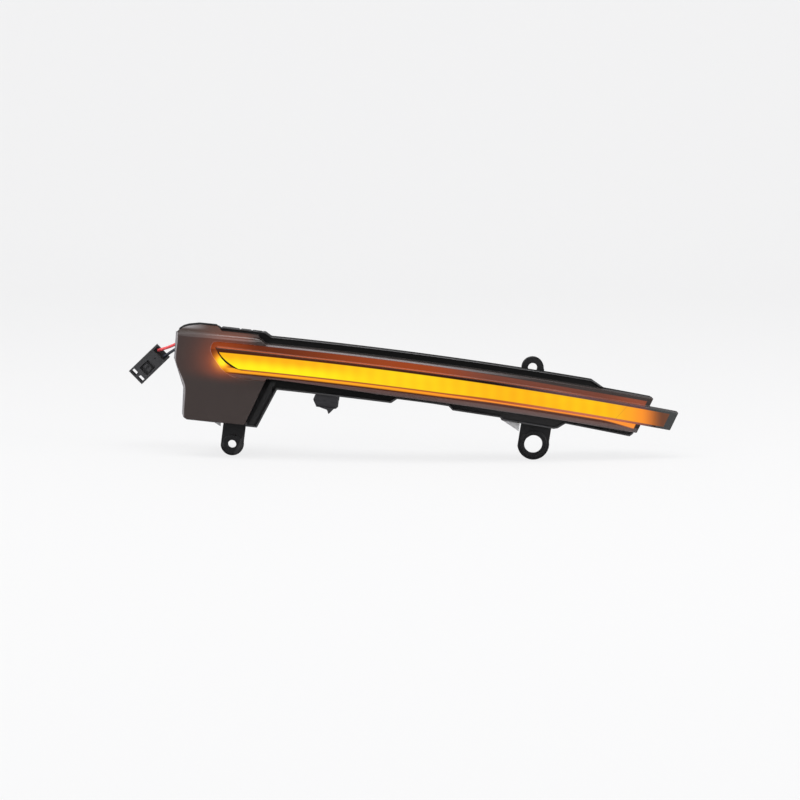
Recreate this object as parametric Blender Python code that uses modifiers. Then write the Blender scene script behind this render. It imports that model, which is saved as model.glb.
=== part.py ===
"""Mirror turn signal lamp: a smoked lens with a raised light bar, a black housing, light engine and pigtail.

World origin: the rear face of the screw tab, on the tab's centre line above its hole. X runs along the lamp to
its tip, Y to the rear and Z up. Metres.

The lamp's long pieces are modelled straight: x along the bar, y the depth behind the bar's front face, z the
height above the bar's centre line. Each one is then bent, swept back in plan and drooping towards its tip.
"""

import math

import bmesh
import bpy
from mathutils import Matrix, Vector

MM = 0.001

# The curve that the lamp is bent to
SWEEP_RADIUS = 376 * MM
SWEEP_CREST = 94.3 * MM
DROOP_RADIUS = 1292 * MM
DROOP_SLOPE = 0.0623
BEND_STEP = 9.5 * MM

# Fits
GAP = 0.3 * MM
END_LEAN = math.radians(24)

# Lens, in depth from the front of its raised bar
RIB_PROUD = 4.2 * MM
HEAD_PROUD = 1.0 * MM
PANEL_WALL = 2.0 * MM
RIB_WALL = 1.0 * MM
SKIRT_WALL = 1.6 * MM
SKIRT_DEPTH = 5.0 * MM
SEAL_THICKNESS = 0.7 * MM

# Lens, seen from the front
STRIP_END = 196.9 * MM
STRIP_TOP = 8.7 * MM
STRIP_BOTTOM = 8.6 * MM
STRIP_TAPER = 1.4 * MM
RIB_HALF_HEIGHT = 4.6 * MM
RIB_START = 7.5 * MM
RIB_TIP = 210.7 * MM
TIP_BORDER = 3.4 * MM
FIN_LEFT = -10.6 * MM
FIN_RIGHT = -6.0 * MM
FIN_DROP = 2.4 * MM
RIM_PROUD = 0.9 * MM
RIM_DEPTH = 1.2 * MM
RIM_TOP = 10.5 * MM
RIM_END = -5.9 * MM
PANEL_START = 9.8 * MM
PANEL_LEDGE = 0.9 * MM
HEAD_LEFT = 27.6 * MM
HEAD_DROP = 31.0 * MM
HEAD_RISE = 14.7 * MM
HEAD_FOOT = 6.0 * MM
HEAD_SHOULDER = 16.75 * MM
RIM_STEP = 2.2 * MM
RIM_STEP_X = -6.0 * MM
ROLL_HEIGHT = 4.4 * MM
ROLL_DEPTH = 6.0 * MM

# Housing
FLANGE_THICKNESS = 2.0 * MM
UPPER_FLANGE = 3.4 * MM
LOWER_FLANGE = 4.8 * MM
SHALLOW_FLANGE = 2.5 * MM
PAD_FLANGE = 5.8 * MM
PAD_REACH = 15.4 * MM
NOTCH_START = 75.6 * MM
NOTCH_END = 104.7 * MM
SLANT_FLANGE = 5.6 * MM
UPPER_FLANGE_END = 171.0 * MM
FLANGE_CHAMFER = 1.0 * MM
LIP_HEIGHT = 0.8 * MM
LIP_WIDTH = 0.9 * MM
LIP_GAP = 0.4 * MM
TOOTH_SLOTS = (3.6 * MM, 9.2 * MM, 14.4 * MM)
TOOTH_SLOT_WIDTH = 0.8 * MM
TOOTH_DEPTH = 1.0 * MM
FLANGE_TUCK = 0.8 * MM
FLANGE_SHIFT = 0.4 * MM
FLANGE_LIFT = 1.4 * MM
STRIP_TUB_DEPTH = 8.0 * MM
HEAD_TUB_DEPTH = 14.0 * MM
TUB_WALL = 1.8 * MM
TUB_INSET = 1.2 * MM
TUB_END_INSET = 2.5 * MM
CROWN_RUN = 3.5 * MM
CROWN_FALL = 2.0 * MM
RIB_THICKNESS = 1.2 * MM
FIRST_REAR_RIB = 30.0 * MM
REAR_RIB_PITCH = 24.0 * MM

# Tabs
TAB_DROP = 5.3 * MM
TAB_THICKNESS = 2.0 * MM
BOSS_HEIGHT = 0.8 * MM
TAB_LEAN = math.radians(7.5)
SCREW_TAB_RADIUS = 5.6 * MM
SCREW_TAB_LENGTH = 5.8 * MM
SCREW_BOSS_RADIUS = 4.7 * MM
SCREW_HOLE_RADIUS = 2.0 * MM
RING_X = 143.4 * MM
RING_DROP = 23.8 * MM
RING_DEPTH = 14.2 * MM
RING_TAB_RADIUS = 7.6 * MM
RING_TAB_LEAN = math.radians(8.5)
RING_BOSS_RADIUS = 6.4 * MM
RING_HOLE_RADIUS = 4.35 * MM
WEDGE_RISE = 6.2 * MM
WEDGE_THICKNESS = 1.2 * MM
EYE_X = 142.9 * MM
EYE_RISE = 12.5 * MM
EYE_DEPTH = 16.6 * MM
EYE_RADIUS = 5.3 * MM
EYE_HOLE_RADIUS = 2.2 * MM
EYE_THICKNESS = 2.0 * MM

# Light engine
BAR_DEPTH = 6.0 * MM
BEZEL_THICKNESS = 1.0 * MM
REFLECTOR_WALL = 1.0 * MM
REFLECTOR_HEIGHT = 8.8 * MM
REFLECTOR_MARGIN = 3.4 * MM
POCKET_ROOM = 0.6 * MM
BOARD_THICKNESS = 1.0 * MM
BOARD_HEIGHT = 9.6 * MM
PAD_MARGIN = 4.8 * MM
LED_COUNT = 28
LED_FIRST = 3.0 * MM
LED_LAST = STRIP_END - 13.9 * MM
BOARD_END = LED_LAST + 7.4 * MM
LED_SIZE = (2.8 * MM, 1.4 * MM, 3.0 * MM)
SCREW_RADIUS = 0.8 * MM
SCREW_HEAD_RADIUS = 1.6 * MM
SCREW_HEAD_HEIGHT = 1.1 * MM
SCREW_REACH = 2.4 * MM
POST_RADIUS = 2.2 * MM

# Snap clip and vent
CLIP_X = 45.5 * MM
CLIP_TONGUE = 6.0 * MM
CLIP_WIDTH = 10.8 * MM
CLIP_THICKNESS = 6.2 * MM
CLIP_DROP = 6.3 * MM
WAIST_DEPTH = 1.2 * MM
TONGUE_THICKNESS = 1.5 * MM
TONGUE_REACH = 2.3 * MM
VENT_X = -14.0 * MM
VENT_HEIGHT = -20.0 * MM
VENT_STEM = 1.8 * MM

# Pigtail
WIRE_RADIUS = 0.7 * MM
WIRE_POINT_COUNT = 32
WIRE_HALF_PITCH = 0.95 * MM
SPREAD_POINTS = 4
GROMMET_X = 8.0 * MM
GROMMET_HEIGHT = -2.0 * MM
GROMMET_RADIUS = 3.4 * MM
GROMMET_GROOVE = 1.2 * MM
GROMMET_TAIL = 3.0 * MM
WIRE_CLIP_X = -19.5 * MM
WIRE_CLIP_HEIGHT = 3.1 * MM
WIRE_CLIP_FOOT = 1.4 * MM
WIRE_CLIP_LEAN = math.radians(22)

# Connector
CONNECTOR_LENGTH = 18.7 * MM
CONNECTOR_WIDTH = 9.0 * MM
CONNECTOR_DEPTH = 6.2 * MM
CONNECTOR_PITCH = 3.7 * MM
CONNECTOR_ANGLE = math.radians(136.3)
LEAD_ENTRY = 1.9 * MM
LEAD_SPREAD = 2.1 * MM
ENTRY_POCKET = 2.9 * MM
ENTRY_WALL = 1.1 * MM
TERMINAL = 2.0 * MM
TERMINAL_WALL = 0.4 * MM
TERMINAL_LENGTH = 8.6 * MM
TERMINAL_DEPTH = 0.4 * MM
TERMINAL_ROOM = TERMINAL / 2 + GAP
CAVITY_START = 6.6 * MM
WINDOW_X = 17.0 * MM
WINDOW_Z = 2.1 * MM
WINDOW_HALF_LENGTH = 1.1 * MM
WINDOW_HALF_WIDTH = 1.5 * MM
RECESS_X = 10.9 * MM
RECESS_Z = 0.6 * MM
RECESS_DEPTH = 1.9 * MM
RECESS_HALF_LENGTH = 2.9 * MM
RECESS_HALF_WIDTH = 2.6 * MM
DOT_X = 5.0 * MM
DOT_HALF = 0.4 * MM

# The route of the leads' centre line between the grommet and the connector: x, how far behind the head's rear
# wall, and height above the bar's centre line at x = 0, in millimetres
LEAD_ROUTE = [
    (9.5, 7.7, -4.1), (9.5, 8.6, -7.3), (9.3, 8.7, -11.8), (8.8, 8.6, -16.8), (7.2, 8.3, -21.5),
    (3.9, 7.6, -25.0), (-0.6, 6.7, -26.4), (-5.0, 5.7, -25.0), (-8.4, 4.9, -21.4), (-10.2, 4.4, -16.3),
    (-10.9, 4.0, -10.3), (-11.6, 3.5, -4.8), (-13.4, 3.0, 0.0), (-16.3, 2.8, 3.0), (-19.5, 2.8, 4.4),
    (-22.4, 2.7, 4.7), (-25.6, 2.2, 4.1), (-29.0, 1.0, 2.7), (-32.0, -0.1, 1.2), (-34.6, -0.8, -0.1),
]
CONNECTOR_PLACE = (-35.9, -0.9, 0.25)

# Depths that follow from the sizes above
PANEL_FRONT = RIB_PROUD
HEAD_FRONT = PANEL_FRONT - HEAD_PROUD
PANEL_REAR = PANEL_FRONT + PANEL_WALL
SKIRT_REAR = PANEL_FRONT + SKIRT_DEPTH
RIM_FRONT = SKIRT_REAR - RIM_DEPTH
SEAL_FRONT = SKIRT_REAR + GAP
FLANGE_FRONT = SEAL_FRONT + SEAL_THICKNESS + GAP
FLANGE_REAR = FLANGE_FRONT + FLANGE_THICKNESS
STRIP_REAR = FLANGE_REAR + STRIP_TUB_DEPTH
HEAD_REAR = FLANGE_REAR + HEAD_TUB_DEPTH
TAB_REAR_DEPTH = FLANGE_REAR + 1.7 * MM
CLIP_DEPTH = FLANGE_REAR + CLIP_THICKNESS / 2 + GAP
BEZEL_FRONT = PANEL_REAR + GAP
BEZEL_REAR = BEZEL_FRONT + BEZEL_THICKNESS
REFLECTOR_FRONT = BEZEL_REAR + GAP
BOARD_FRONT = STRIP_REAR - TUB_WALL - 3.4 * MM
REFLECTOR_REAR = BOARD_FRONT - GAP
BAR_FRONT = RIB_WALL + GAP
CENTRE_HEIGHT = HEAD_DROP + TAB_DROP
TUB_HALF = STRIP_BOTTOM - TUB_INSET
LENS_SPAN = (-HEAD_LEFT, RIB_TIP + 3 * MM)
BAR_END = STRIP_END - SKIRT_WALL
POCKET_END = RIB_TIP - TIP_BORDER + RIB_WALL
LIP_FRONT = FLANGE_FRONT - LIP_HEIGHT

for thing in list(bpy.data.objects):
    bpy.data.objects.remove(thing)


def collection(name):
    made = bpy.data.collections.new(name)
    bpy.context.scene.collection.children.link(made)
    return made


LAMP = collection("mirror_turn_signal_lamp")


def material(name, colour, roughness, metallic=0.0, alpha=1.0):
    made = bpy.data.materials.new(name)
    made.use_nodes = True
    shader = made.node_tree.nodes["Principled BSDF"]
    shader.inputs["Base Color"].default_value = (*colour, 1)
    shader.inputs["Roughness"].default_value = roughness
    shader.inputs["Metallic"].default_value = metallic
    shader.inputs["Alpha"].default_value = alpha
    made.diffuse_color = (*colour, alpha)
    return made


SMOKED = material("smoked_lens", (0.06, 0.045, 0.04), 0.12, alpha=0.85)
CLEAR = material("clear_plastic", (0.6, 0.6, 0.6), 0.2, alpha=0.5)
BLACK = material("black_moulding", (0.012, 0.012, 0.013), 0.45)
AMBER = material("amber_light_bar", (1.0, 0.5, 0.02), 0.3)
WHITE = material("white_reflector", (0.8, 0.8, 0.78), 0.5)
BOARD = material("board_green", (0.02, 0.12, 0.05), 0.5)
CHIP = material("chip_black", (0.02, 0.02, 0.02), 0.6)
CERAMIC = material("part_ceramic", (0.35, 0.25, 0.15), 0.5)
METAL = material("bright_metal", (0.7, 0.7, 0.68), 0.3, 1.0)
RUBBER = material("black_rubber", (0.02, 0.02, 0.02), 0.8)
RED_SKIN = material("red_wire_skin", (0.6, 0.02, 0.02), 0.4)
BLACK_SKIN = material("black_wire_skin", (0.02, 0.02, 0.02), 0.4)
PLUG = material("black_connector", (0.015, 0.015, 0.016), 0.4)


def add_object(name, mesh):
    made = bpy.data.objects.new(name, mesh)
    LAMP.objects.link(made)
    return made


def evaluated_mesh(body):
    bpy.context.view_layer.update()
    graph = bpy.context.evaluated_depsgraph_get()
    return bpy.data.meshes.new_from_object(body.evaluated_get(graph))


def edited(body, change):
    """The body, after change(bmesh) was applied to its mesh."""
    shape = bmesh.new()
    shape.from_mesh(body.data)
    change(shape)
    shape.to_mesh(body.data)
    shape.free()
    return body


def slab(outline, front, rear):
    """A flat outline of (x, z) points that stands upright, from depth front to depth rear."""
    curve = bpy.data.curves.new("outline", "CURVE")
    curve.dimensions = "2D"
    curve.fill_mode = "BOTH"
    curve.extrude = (rear - front) / 2
    spline = curve.splines.new("POLY")
    spline.points.add(len(outline) - 1)
    for point, (x, z) in zip(spline.points, outline):
        point.co = (x, z, 0, 1)
    spline.use_cyclic_u = True
    flat = add_object("outline", curve)
    mesh = evaluated_mesh(flat)
    bpy.data.objects.remove(flat)
    upright = Matrix.Translation((0, (front + rear) / 2, 0)) @ Matrix.Rotation(math.pi / 2, 4, "X")
    mesh.transform(upright)

    def weld(shape):
        bmesh.ops.remove_doubles(shape, verts=shape.verts, dist=1e-6)
        bmesh.ops.recalc_face_normals(shape, faces=shape.faces)

    return edited(add_object("slab", mesh), weld)


def bar(section, start, end):
    """A section of (depth, height) points that runs along x from start to end."""
    body = slab(section, 0, end - start)
    turn = Matrix(((0, 1, 0, start), (1, 0, 0, 0), (0, 0, 1, 0), (0, 0, 0, 1)))
    body.data.transform(turn)
    return edited(body, lambda shape: bmesh.ops.recalc_face_normals(shape, faces=shape.faces))


def block(low, high):
    """A box between two corners."""
    mesh = bpy.data.meshes.new("block")
    shape = bmesh.new()
    size = [b - a for a, b in zip(low, high)]
    centre = Vector([(a + b) / 2 for a, b in zip(low, high)])
    bmesh.ops.create_cube(shape, size=1, matrix=Matrix.Translation(centre) @ Matrix.Diagonal((*size, 1)))
    shape.to_mesh(mesh)
    shape.free()
    return add_object("block", mesh)


def drum(x, z, radius, front, rear, sides=24, rear_radius=None):
    """A round bar, or a cone where rear_radius is given, whose axis runs along y."""
    mesh = bpy.data.meshes.new("drum")
    shape = bmesh.new()
    place = Matrix.Translation((x, (front + rear) / 2, z)) @ Matrix.Rotation(-math.pi / 2, 4, "X")
    bmesh.ops.create_cone(
        shape, cap_ends=True, segments=sides, radius1=radius,
        radius2=radius if rear_radius is None else rear_radius, depth=rear - front, matrix=place,
    )
    shape.to_mesh(mesh)
    shape.free()
    return add_object("drum", mesh)


def combine(body, operation, tools):
    """Joins the tools to the body or cuts them from it, and removes them. EXACT leaves open edges here."""
    for tool in tools:
        change = body.modifiers.new(operation, "BOOLEAN")
        change.operation = operation
        change.solver = "MANIFOLD"
        change.object = tool
    mesh = evaluated_mesh(body)
    body.modifiers.clear()
    body.data = mesh
    for tool in tools:
        bpy.data.objects.remove(tool)
    return body


def join(body, *tools):
    return combine(body, "UNION", tools)


def cut(body, *tools):
    return combine(body, "DIFFERENCE", tools)


def inset(outline, distance):
    """The outline moved inwards by distance. An edge that is too short to be moved so far is left out."""
    lines = []
    for start, end in zip(outline, outline[1:] + outline[:1]):
        along = (Vector(end) - Vector(start)).normalized()
        lines.append((Vector(start) + Vector((-along.y, along.x)) * distance, along))
    while True:
        corners = []
        for (place, along), (next_place, next_along) in zip(lines[-1:] + lines[:-1], lines):
            spread = along.cross(next_along)
            reach = (next_place - place).cross(next_along) / spread if abs(spread) > 1e-6 else 0
            corners.append(place + along * reach if abs(spread) > 1e-6 else next_place)
        lengths = [
            (end - start).dot(along)
            for start, end, (_, along) in zip(corners, corners[1:] + corners[:1], lines)
        ]
        if min(lengths) > 0:
            return [tuple(corner) for corner in corners]
        lines.pop(lengths.index(min(lengths)))


def swoop(start, corner, end, steps=7):
    """Points on the curve from start to end that leans towards corner."""
    points = []
    for i in range(steps + 1):
        t = i / steps
        points.append(tuple(
            (1 - t) ** 2 * a + 2 * t * (1 - t) * b + t * t * c for a, b, c in zip(start, corner, end)
        ))
    return points


def lean(x, z):
    """The x at height z of an end face that leans back through (x, 0)."""
    return (x + z * math.tan(END_LEAN), z)


def sweep(x):
    return ((x - SWEEP_CREST) ** 2 - SWEEP_CREST ** 2) / (2 * SWEEP_RADIUS) - TAB_REAR_DEPTH


def droop(x):
    return CENTRE_HEIGHT - DROOP_SLOPE * x - x * x / (2 * DROOP_RADIUS)


def on_curve(x, depth, height):
    """World place of a point of the straight lamp."""
    return Vector((x, depth + sweep(x), height + droop(x)))


def bend(body, name, skin):
    """Cuts the straight body into short lengths and moves each onto the curve."""

    def change(shape):
        first = math.ceil(LENS_SPAN[0] / BEND_STEP)
        last = math.floor(LENS_SPAN[1] / BEND_STEP)
        for step in range(first, last + 1):
            bmesh.ops.bisect_plane(
                shape, geom=shape.verts[:] + shape.edges[:] + shape.faces[:], dist=1e-5,
                plane_co=(step * BEND_STEP, 0, 0), plane_no=(1, 0, 0),
            )
        bmesh.ops.triangulate(shape, faces=shape.faces)
        for vertex in shape.verts:
            vertex.co = on_curve(*vertex.co)

    return named(edited(body, change), name, skin)


def named(body, name, skin):
    body.name = name
    body.data.name = name
    body.data.materials.clear()
    body.data.materials.append(skin)
    body.data.shade_smooth()
    body.data.set_sharp_from_angle(angle=math.radians(25))
    return body


def seat(body, x, depth, height):
    """Places a small piece, built about its own origin, on the curve and turns it with the lamp there."""
    turn = math.atan((x - SWEEP_CREST) / SWEEP_RADIUS)
    tilt = math.atan(DROOP_SLOPE + x / DROOP_RADIUS)
    body.location = on_curve(x, depth, height)
    body.rotation_euler = (0, tilt, turn)
    return body


# Outlines of the lens, anticlockwise from the front

HEAD_OUTLINE = [
    (-HEAD_LEFT + 1.1 * MM, HEAD_RISE - 5.5 * MM),
    (-HEAD_LEFT, -2.2 * MM),
    (-HEAD_LEFT + 4.4 * MM, 0.52 * -HEAD_DROP),
    (-HEAD_LEFT + 3.6 * MM, -HEAD_DROP + 2.3 * MM),
    (-HEAD_LEFT + 4.0 * MM, -HEAD_DROP + 0.9 * MM),
    (-HEAD_LEFT + 5.2 * MM, -HEAD_DROP + 0.2 * MM),
    (-5.0 * MM, -HEAD_DROP),
    (HEAD_FOOT, -HEAD_DROP + 0.2 * MM),
    (HEAD_SHOULDER, -STRIP_BOTTOM + 0.8 * MM),
    (HEAD_SHOULDER, STRIP_TOP - 0.3 * MM),
    (HEAD_SHOULDER - 3.0 * MM, STRIP_TOP + 2.1 * MM),
    (HEAD_SHOULDER - 3.8 * MM, HEAD_RISE - RIM_STEP - 0.2 * MM),
    (RIM_STEP_X + 1.2 * MM, HEAD_RISE - RIM_STEP),
    (RIM_STEP_X - 0.8 * MM, HEAD_RISE - 0.1 * MM),
    (-HEAD_LEFT + 11.9 * MM, HEAD_RISE),
    (-HEAD_LEFT + 6.7 * MM, HEAD_RISE - 0.9 * MM),
    (-HEAD_LEFT + 3.8 * MM, HEAD_RISE - 1.9 * MM),
    (-HEAD_LEFT + 1.2 * MM, HEAD_RISE - 3.7 * MM),
]
STRIP_OUTLINE = [
    (0, -STRIP_BOTTOM + STRIP_TAPER / 2 + 0.1 * MM), (24 * MM, -STRIP_BOTTOM + STRIP_TAPER / 2),
    (70 * MM, -STRIP_BOTTOM - STRIP_TAPER / 2 + 0.1 * MM), lean(STRIP_END, -STRIP_BOTTOM - STRIP_TAPER / 2),
    lean(STRIP_END, STRIP_TOP), (0, STRIP_TOP),
]
PANEL_OUTLINE = swoop(
    (-PANEL_START + 1.2 * MM, STRIP_TOP - PANEL_LEDGE - 0.4 * MM),
    (-PANEL_START - 2.0 * MM, STRIP_TOP - 5 * MM), (-PANEL_START + 2.0 * MM, -1.0 * MM), 4,
) + swoop(
    (-PANEL_START + 5.0 * MM, -5.0 * MM), (-PANEL_START + 8.5 * MM, -STRIP_BOTTOM - 0.1 * MM),
    (-PANEL_START + 15.5 * MM, -STRIP_BOTTOM - 0.3 * MM), 4,
) + [
    (HEAD_SHOULDER + 4 * MM, -STRIP_BOTTOM - 0.3 * MM), (HEAD_SHOULDER + 4 * MM, STRIP_TOP - PANEL_LEDGE),
    (-PANEL_START + 3 * MM, STRIP_TOP - PANEL_LEDGE),
]


def rib_outline(tip):
    """The raised bar: a curved left end and a slanted tip, whose middle is at x = tip."""
    left_end = swoop(
        (-RIB_START, RIB_HALF_HEIGHT + 0.7 * MM), (-RIB_START + 4.5 * MM, -RIB_HALF_HEIGHT - 0.4 * MM),
        (8 * MM, -RIB_HALF_HEIGHT),
    )
    return left_end + [lean(tip, -RIB_HALF_HEIGHT), lean(tip, RIB_HALF_HEIGHT), (34 * MM, RIB_HALF_HEIGHT)]


def roll_wedge(thickness):
    """What the head's rolled top edge leaves off, or for its inside, thickness further in."""
    low = HEAD_RISE - ROLL_HEIGHT - thickness
    run = ROLL_HEIGHT / ROLL_DEPTH
    reach = 20 * MM
    return bar(
        [(HEAD_FRONT - reach, low), (HEAD_FRONT, low), (HEAD_FRONT + reach, low + reach * run),
         (HEAD_FRONT - reach, low + reach * run)],
        -HEAD_LEFT - reach, HEAD_SHOULDER + 1 * MM,
    )


def foot_plate(proud, front, rear):
    """The left and lower part of the head's outline, moved outwards by proud."""
    low, right, far = -HEAD_DROP - 5 * MM, HEAD_SHOULDER + 15 * MM, HEAD_RISE + 15 * MM
    rest = slab(
        [(RIM_END, low), (right, low), (right, far), (-HEAD_LEFT - 5 * MM, far), (-HEAD_LEFT - 5 * MM, RIM_TOP),
         (RIM_END, RIM_TOP)],
        front - 1 * MM, rear + 1 * MM,
    )
    return cut(slab(inset(HEAD_OUTLINE, -proud), front, rear), rest)


def clear_rim():
    """The lens's clear foot, proud of the head's left side and bottom, with a fin beside the screw tab."""
    middle = slab(inset(HEAD_OUTLINE, SKIRT_WALL), RIM_FRONT - 2 * MM, SKIRT_REAR + 2 * MM)
    rim = cut(foot_plate(RIM_PROUD, RIM_FRONT, SKIRT_REAR), middle)
    root = -HEAD_DROP + SKIRT_WALL / 2
    fin = slab(
        [(FIN_LEFT, root), (FIN_LEFT, -HEAD_DROP), (FIN_RIGHT, -HEAD_DROP - FIN_DROP), (FIN_RIGHT, root)],
        RIM_FRONT + 0.1 * MM, SKIRT_REAR - 0.1 * MM,
    )
    return bend(join(rim, fin), "clear_rim", CLEAR)


def outer_lens():
    head = cut(slab(HEAD_OUTLINE, HEAD_FRONT, SKIRT_REAR), roll_wedge(0))
    head = cut(head, slab(PANEL_OUTLINE, -PANEL_FRONT, PANEL_FRONT))
    strip = slab(STRIP_OUTLINE, PANEL_FRONT, SKIRT_REAR)
    rib = slab(rib_outline(RIB_TIP), 0, PANEL_REAR)
    lens = join(head, strip, rib)
    hollows = [
        foot_plate(RIM_PROUD + 1 * MM, RIM_FRONT - GAP, SKIRT_REAR + 2 * MM),
        cut(slab(inset(HEAD_OUTLINE, SKIRT_WALL), PANEL_REAR, SKIRT_REAR + 1 * MM), roll_wedge(PANEL_WALL)),
        slab(inset(STRIP_OUTLINE, SKIRT_WALL), PANEL_REAR, SKIRT_REAR + 1 * MM),
        slab(inset(rib_outline(BAR_END), RIB_WALL), RIB_WALL, SKIRT_REAR),
        slab(inset(rib_outline(POCKET_END), RIB_WALL), RIB_WALL, PANEL_REAR - RIB_WALL),
    ]
    return bend(cut(lens, *hollows), "outer_lens", SMOKED)


def lens_seal():
    ring = join(slab(HEAD_OUTLINE, SEAL_FRONT, SEAL_FRONT + SEAL_THICKNESS),
                slab(STRIP_OUTLINE, SEAL_FRONT + 0.01 * MM, SEAL_FRONT + SEAL_THICKNESS - 0.01 * MM))
    inside = slab(inset(HEAD_OUTLINE, SKIRT_WALL), 0, FLANGE_FRONT + 1 * MM)
    strip_inside = slab(inset(STRIP_OUTLINE, SKIRT_WALL), -1 * MM, FLANGE_FRONT + 2 * MM)
    return bend(cut(ring, inside, strip_inside), "lens_seal", RUBBER)


def flange_plate():
    """The housing's flange: tucked behind the head, and standing out above, below and beside the strip."""
    top = STRIP_TOP + UPPER_FLANGE
    low = -STRIP_BOTTOM - LOWER_FLANGE
    shallow = -STRIP_BOTTOM - SHALLOW_FLANGE
    pad = -STRIP_BOTTOM - PAD_FLANGE
    foot = -HEAD_DROP - 1.6 * MM
    behind_foot = [
        (-8 * MM, HEAD_RISE - 6 * MM), (-3 * MM, -HEAD_DROP + 6 * MM),
        (HEAD_FOOT - 0.5 * MM, -HEAD_DROP + 2 * MM), (HEAD_FOOT, foot), (HEAD_FOOT + SLANT_FLANGE, foot),
        (HEAD_SHOULDER + SLANT_FLANGE - 0.9 * MM, low),
    ]
    lower_edge = [
        (NOTCH_START, low), (NOTCH_START + 2.9 * MM, shallow), (NOTCH_END - 2 * MM, shallow),
        (NOTCH_END, low + 0.4 * MM), (RING_X - PAD_REACH - 0.7 * MM, low + 0.2 * MM), (RING_X - PAD_REACH, pad),
        (RING_X + 9.6 * MM, pad - 0.3 * MM), (RING_X + 11.5 * MM, pad + 0.3 * MM),
        (RING_X + 15.2 * MM, shallow - 0.2 * MM),
    ]
    tip = [
        lean(STRIP_END - 1.5 * MM, shallow - 1.2 * MM), lean(STRIP_END - 0.5 * MM, shallow + 0.3 * MM),
        lean(STRIP_END - 0.6 * MM, STRIP_TOP + 0.1 * MM),
    ]
    upper_edge = [
        (UPPER_FLANGE_END + 6 * MM, STRIP_TOP + 0.3 * MM), (UPPER_FLANGE_END, top),
        (HEAD_SHOULDER + 2.3 * MM, top), (HEAD_SHOULDER - 0.5 * MM, HEAD_RISE - 0.8 * MM),
        (RIM_STEP_X + 1.4 * MM, HEAD_RISE - 0.3 * MM), (RIM_STEP_X, HEAD_RISE - 1.6 * MM),
    ]
    outline = behind_foot + lower_edge + tip + upper_edge
    raised = [(x - FLANGE_SHIFT, z + FLANGE_LIFT) for x, z in inset(HEAD_OUTLINE, FLANGE_TUCK)]
    behind_head = slab(raised, FLANGE_FRONT + 0.01 * MM, FLANGE_REAR - 0.01 * MM)
    lip = cut(
        slab(outline, LIP_FRONT, FLANGE_FRONT + 0.5 * MM),
        slab(inset(outline, LIP_WIDTH), LIP_FRONT - 1 * MM, FLANGE_REAR),
        slab(inset(STRIP_OUTLINE, -LIP_GAP), LIP_FRONT - 2 * MM, FLANGE_REAR),
        slab(inset(HEAD_OUTLINE, -LIP_GAP), LIP_FRONT - 3 * MM, FLANGE_REAR),
    )
    return join(slab(outline, FLANGE_FRONT, FLANGE_REAR), behind_head, lip)


def strip_tub(shrink, front, rear):
    half = TUB_HALF - shrink
    return slab(
        [(-6 * MM, -half), lean(STRIP_END - TUB_END_INSET - shrink, -half),
         lean(STRIP_END - TUB_END_INSET - shrink, half), (-6 * MM, half)],
        front, rear,
    )


def rear_rib(x, below):
    """A gusset between the tub's wall and the flange, above or below the tub."""
    side = -1 if below else 1
    reach = (SHALLOW_FLANGE if below else UPPER_FLANGE - 1 * MM) + STRIP_BOTTOM - TUB_HALF
    root, edge = side * (TUB_HALF - 0.5 * MM), side * (TUB_HALF + reach)
    section = [
        (FLANGE_REAR - 0.5 * MM, root), (FLANGE_REAR - 0.5 * MM, edge), (FLANGE_REAR + 0.4 * MM, edge),
        (STRIP_REAR - 2 * MM, root),
    ]
    return bar(section if below else section[::-1], x - RIB_THICKNESS / 2, x + RIB_THICKNESS / 2)


def tab_outline(x, z, radius, angle, root):
    """A tab with a round lower end about (x, z), whose straight sides lean and reach up to height root."""
    sides = 16
    points = []
    for i in range(sides + 1):
        turn = math.pi + angle + math.pi * i / sides
        points.append((x + radius * math.cos(turn), z + radius * math.sin(turn)))
    rise = Vector((math.sin(angle), math.cos(angle)))
    right, left = Vector(points[-1]), Vector(points[0])
    points.append(tuple(right + rise * (root - right.y) / rise.y))
    points.append(tuple(left + rise * (root - left.y) / rise.y))
    return points


PAD_LOW = -HEAD_DROP + PAD_MARGIN
PAD_LEFT = -HEAD_LEFT + 8.6 * MM
SCREW_POSTS = [
    (PAD_LEFT + 3.0 * MM, PAD_LOW + 3.0 * MM), (HEAD_FOOT - 0.6 * MM, PAD_LOW + 13.6 * MM),
    (-3.6 * MM, 0.0), (LED_LAST + 5.3 * MM, 0.0),
]
BOARD_OUTLINE = [
    (PAD_LEFT, PAD_LOW), (HEAD_FOOT - 5 * MM, PAD_LOW), (HEAD_SHOULDER - 6 * MM, -STRIP_BOTTOM - 1.2 * MM),
    (HEAD_SHOULDER - 6 * MM, -BOARD_HEIGHT / 2), (BOARD_END, -BOARD_HEIGHT / 2),
    (BOARD_END, BOARD_HEIGHT / 2), (PAD_LEFT + 7 * MM, BOARD_HEIGHT / 2), (PAD_LEFT, -2 * MM),
]


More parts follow.
